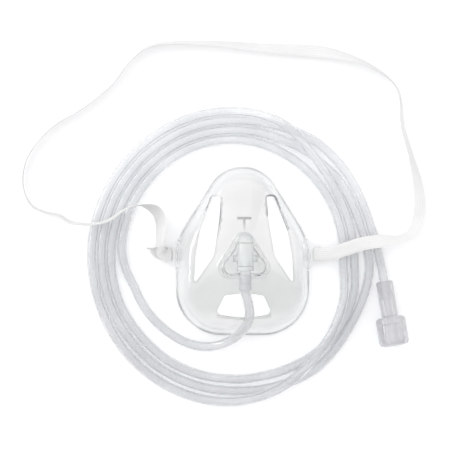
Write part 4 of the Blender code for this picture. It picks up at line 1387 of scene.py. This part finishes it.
# Where the legs' painted shade, a deeper tint, fades in: from the column, from the chin and down from the
# raised seat
LEG_SHADE_SPANS = (("Y", -0.004, -0.020), ("Y", -0.046, -0.036), ("Z", 0.0300, 0.0275))
# Span along Y where the tube's painted shade comes in, darker towards negative Y
LOW_SHADE_SPAN = (0.06, -0.02)


def use_group(tree, group, **values):
    """A shared effect placed in a material, with its own values."""
    return add_node(tree, "Group", node_tree=group, **values)


def share_along(tree, axis, start, end):
    """Smooth share from 0 to 1 between two places along one of the object's axes."""
    place = add_node(tree, "TexCoord").outputs["Object"]
    return ranged(tree, add_node(tree, "SeparateXYZ", place).outputs[axis], start, end, kind="SMOOTHSTEP")


def panel_and_wall(tree, colour, wall, leg_shade):
    """Colour of the panel, with painted shade on each leg under the raised seat, and of the wall round
    them, painted paler as light.
    """
    panel = share_along(tree, "Z", *PANEL_HEIGHTS)
    deeper = panel
    for axis, start, end in LEG_SHADE_SPANS:
        deeper = calculate(tree, "MULTIPLY", deeper, share_along(tree, axis, start, end))
    return blend(tree, panel, wall, blend(tree, deeper, colour, leg_shade, "MULTIPLY"))


def clear_plastic(
    name, pale, deep, edge, shade, clear, dull, milk=0.0, ior=1.45, wave=120.0, depth=0.0002,
    border=None, leg_shade=None, wall=None, gloss=0.5, low_shade=None,
):
    """Transparent plastic; milk is the share that scatters, border the colour of painted dark lines on
    marked thick edges; the leg and low-Y colours are painted shade and the wall tint painted light.
    """
    material, tree, shader, output = new_material(name)
    tint = use_group(tree, TINT, Pale=(*pale, 1), Deep=(*deep, 1), Scale=38.0)
    facing = add_node(tree, "LayerWeight", Blend=0.25)
    colour = blend(tree, facing.outputs["Facing"], tint.outputs["Color"], edge)
    # Painted shade on the shell's legs and a paler painted tint on its wall
    if wall:
        colour = panel_and_wall(tree, colour, wall, leg_shade)
    # Painted shade: darker towards negative Y
    if low_shade:
        colour = blend(tree, share_along(tree, "Y", *LOW_SHADE_SPAN), colour, low_shade, "MULTIPLY")
    # Painted dark lines: the border colour mixed in by the point attribute
    if border:
        marked = add_node(tree, "Attribute", attribute_name="painted_dark_line")
        colour = blend(tree, marked.outputs["Fac"], colour, border)
    haze = use_group(tree, HAZE, Clear=clear, Dull=dull)
    waves = use_group(tree, WAVES, Scale=wave, Depth=depth).outputs["Normal"]
    fill(
        tree, shader, Base_Color=colour, Roughness=haze.outputs["Roughness"], Normal=waves,
        Transmission_Weight=1.0 - milk, IOR=ior,
        Coat_Weight=gloss, Coat_Roughness=0.06, Coat_IOR=1.6, Coat_Normal=waves,
    )
    through = add_node(tree, "BsdfTransparent", Color=(*shade, 1))
    casts = any_ray(tree, "Is Shadow Ray")
    mix = add_node(tree, "MixShader", casts, shader.outputs[0], through.outputs[0])
    fill(tree, output, Surface=mix.outputs[0])
    return material


# On the shell the border colour is a painted dark line, the leg colour painted shade and the wall tint
# painted light
shell_clear = clear_plastic(
    "soft_clear_shell", pale=(0.835, 0.828, 0.827), deep=(0.782, 0.778, 0.775), edge=(0.83, 0.83, 0.828),
    shade=(0.95, 0.955, 0.96), clear=0.05, dull=0.16, ior=1.22, gloss=0.8,
    border=(0.09, 0.10, 0.10), leg_shade=(0.91, 0.93, 0.92), wall=(0.995, 0.998, 0.996),
)
cup_clear = clear_plastic(
    "clear_diffuser", pale=(0.93, 0.95, 0.945), deep=(0.88, 0.91, 0.90), edge=(0.76, 0.80, 0.79),
    shade=(0.93, 0.94, 0.95), clear=0.08, dull=0.20, ior=1.25,
)
# The nozzle's border colour is the painted dark line in its grooves and on its pegs
nozzle_clear = clear_plastic(
    "stiff_clear_nozzle", pale=(0.92, 0.93, 0.925), deep=(0.86, 0.87, 0.87), edge=(0.50, 0.53, 0.53),
    shade=(0.90, 0.92, 0.93), clear=0.06, dull=0.16, milk=0.36, ior=1.36, gloss=1.0,
    border=(0.30, 0.33, 0.33),
)
# The tube's low-Y colour is painted shade
tube_clear = clear_plastic(
    "clear_vinyl_tube", pale=(0.943, 0.945, 0.949), deep=(0.885, 0.889, 0.896), edge=(0.92, 0.923, 0.932),
    shade=(0.92, 0.93, 0.945), clear=0.12, dull=0.22, milk=0.15, ior=1.20, gloss=1.0,
    wave=40.0, depth=0.00001, low_shade=(0.91, 0.91, 0.913),
)
cuff_clear = clear_plastic(
    "blue_grey_cuff", pale=(0.86, 0.865, 0.88), deep=(0.80, 0.806, 0.824), edge=(0.52, 0.54, 0.58),
    shade=(0.88, 0.89, 0.91), clear=0.10, dull=0.24, milk=0.34, gloss=0.9,
)
connector_smoky = clear_plastic(
    "smoky_soft_connector", pale=(0.80, 0.80, 0.81), deep=(0.74, 0.74, 0.755), edge=(0.46, 0.46, 0.49),
    shade=(0.88, 0.88, 0.90), clear=0.08, dull=0.20, milk=0.24, ior=1.36, gloss=1.0,
)
finishes = (
    (shell, shell_clear), (cup, cup_clear), (pin, cup_clear), (nozzle, nozzle_clear), (tubing, tube_clear),
    (cuff, cuff_clear), (connector, connector_smoky),
)
for piece, material in finishes:
    piece.data.materials.clear()
    piece.data.materials.append(material)
print("clear finishes on", len(finishes), "pieces")

# %% [markdown]
# ## Knitted elastic
#
# The strap is a knit of fine white yarn over rubber threads. Close up it has ribs along its length, about
# seven to the centimetre across, crossed by much finer rows of stitches, and its edges are a little
# denser. The band's own coordinates are its UV map, in metres, so the ribs follow every bend.

# %% Knitted elastic
RIB_WIDTH = 0.0013
ROW_LENGTH = 0.0011
ROW_HEIGHT = 0.45


def make_knit():
    group, given, out = start_group(
        "knitted_ribs", (("Rib Width", "Float", RIB_WIDTH), ("Row Length", "Float", ROW_LENGTH)),
        (("Height", "Float"), ("Shade", "Float")),
    )
    parts = add_node(group, "SeparateXYZ", add_node(group, "UVMap", uv_map="band").outputs["UV"])
    heights = []
    for axis, spacing in (("X", "Rib Width"), ("Y", "Row Length")):
        share = calculate(group, "DIVIDE", parts.outputs[axis], given.outputs[spacing])
        heights.append(calculate(group, "SINE", calculate(group, "MULTIPLY", share, 2 * pi)))
    total = calculate(group, "MULTIPLY_ADD", heights[1], ROW_HEIGHT, heights[0])
    fill(group, out, Height=total, Shade=ranged(group, total, -1.4, 1.4))
    return group


def white_elastic():
    """White yarn with painted shade in the knit's hollows, raised by the knit, and a little uneven as from
    handling.
    """
    material, tree, shader, _ = new_material("white_elastic")
    knit = use_group(tree, KNIT)
    # Painted shade: the knit's hollows darker than its ribs
    yarn = blend(tree, knit.outputs["Shade"], (0.80, 0.80, 0.795), (0.90, 0.90, 0.895))
    worn = use_group(tree, TINT, Scale=70.0, Pale=(1, 1, 1, 1), Deep=(0.96, 0.96, 0.955, 1))
    bump = add_node(tree, "Bump", Strength=0.35, Distance=0.00012, Height=knit.outputs["Height"])
    fill(
        tree, shader, Base_Color=blend(tree, 1.0, yarn, worn.outputs["Color"], "MULTIPLY"),
        Roughness=0.85, Sheen_Weight=0.15, Normal=bump.outputs["Normal"],
    )
    return material


KNIT = make_knit()
strap.data.materials.append(white_elastic())
print("knit group", KNIT.name)
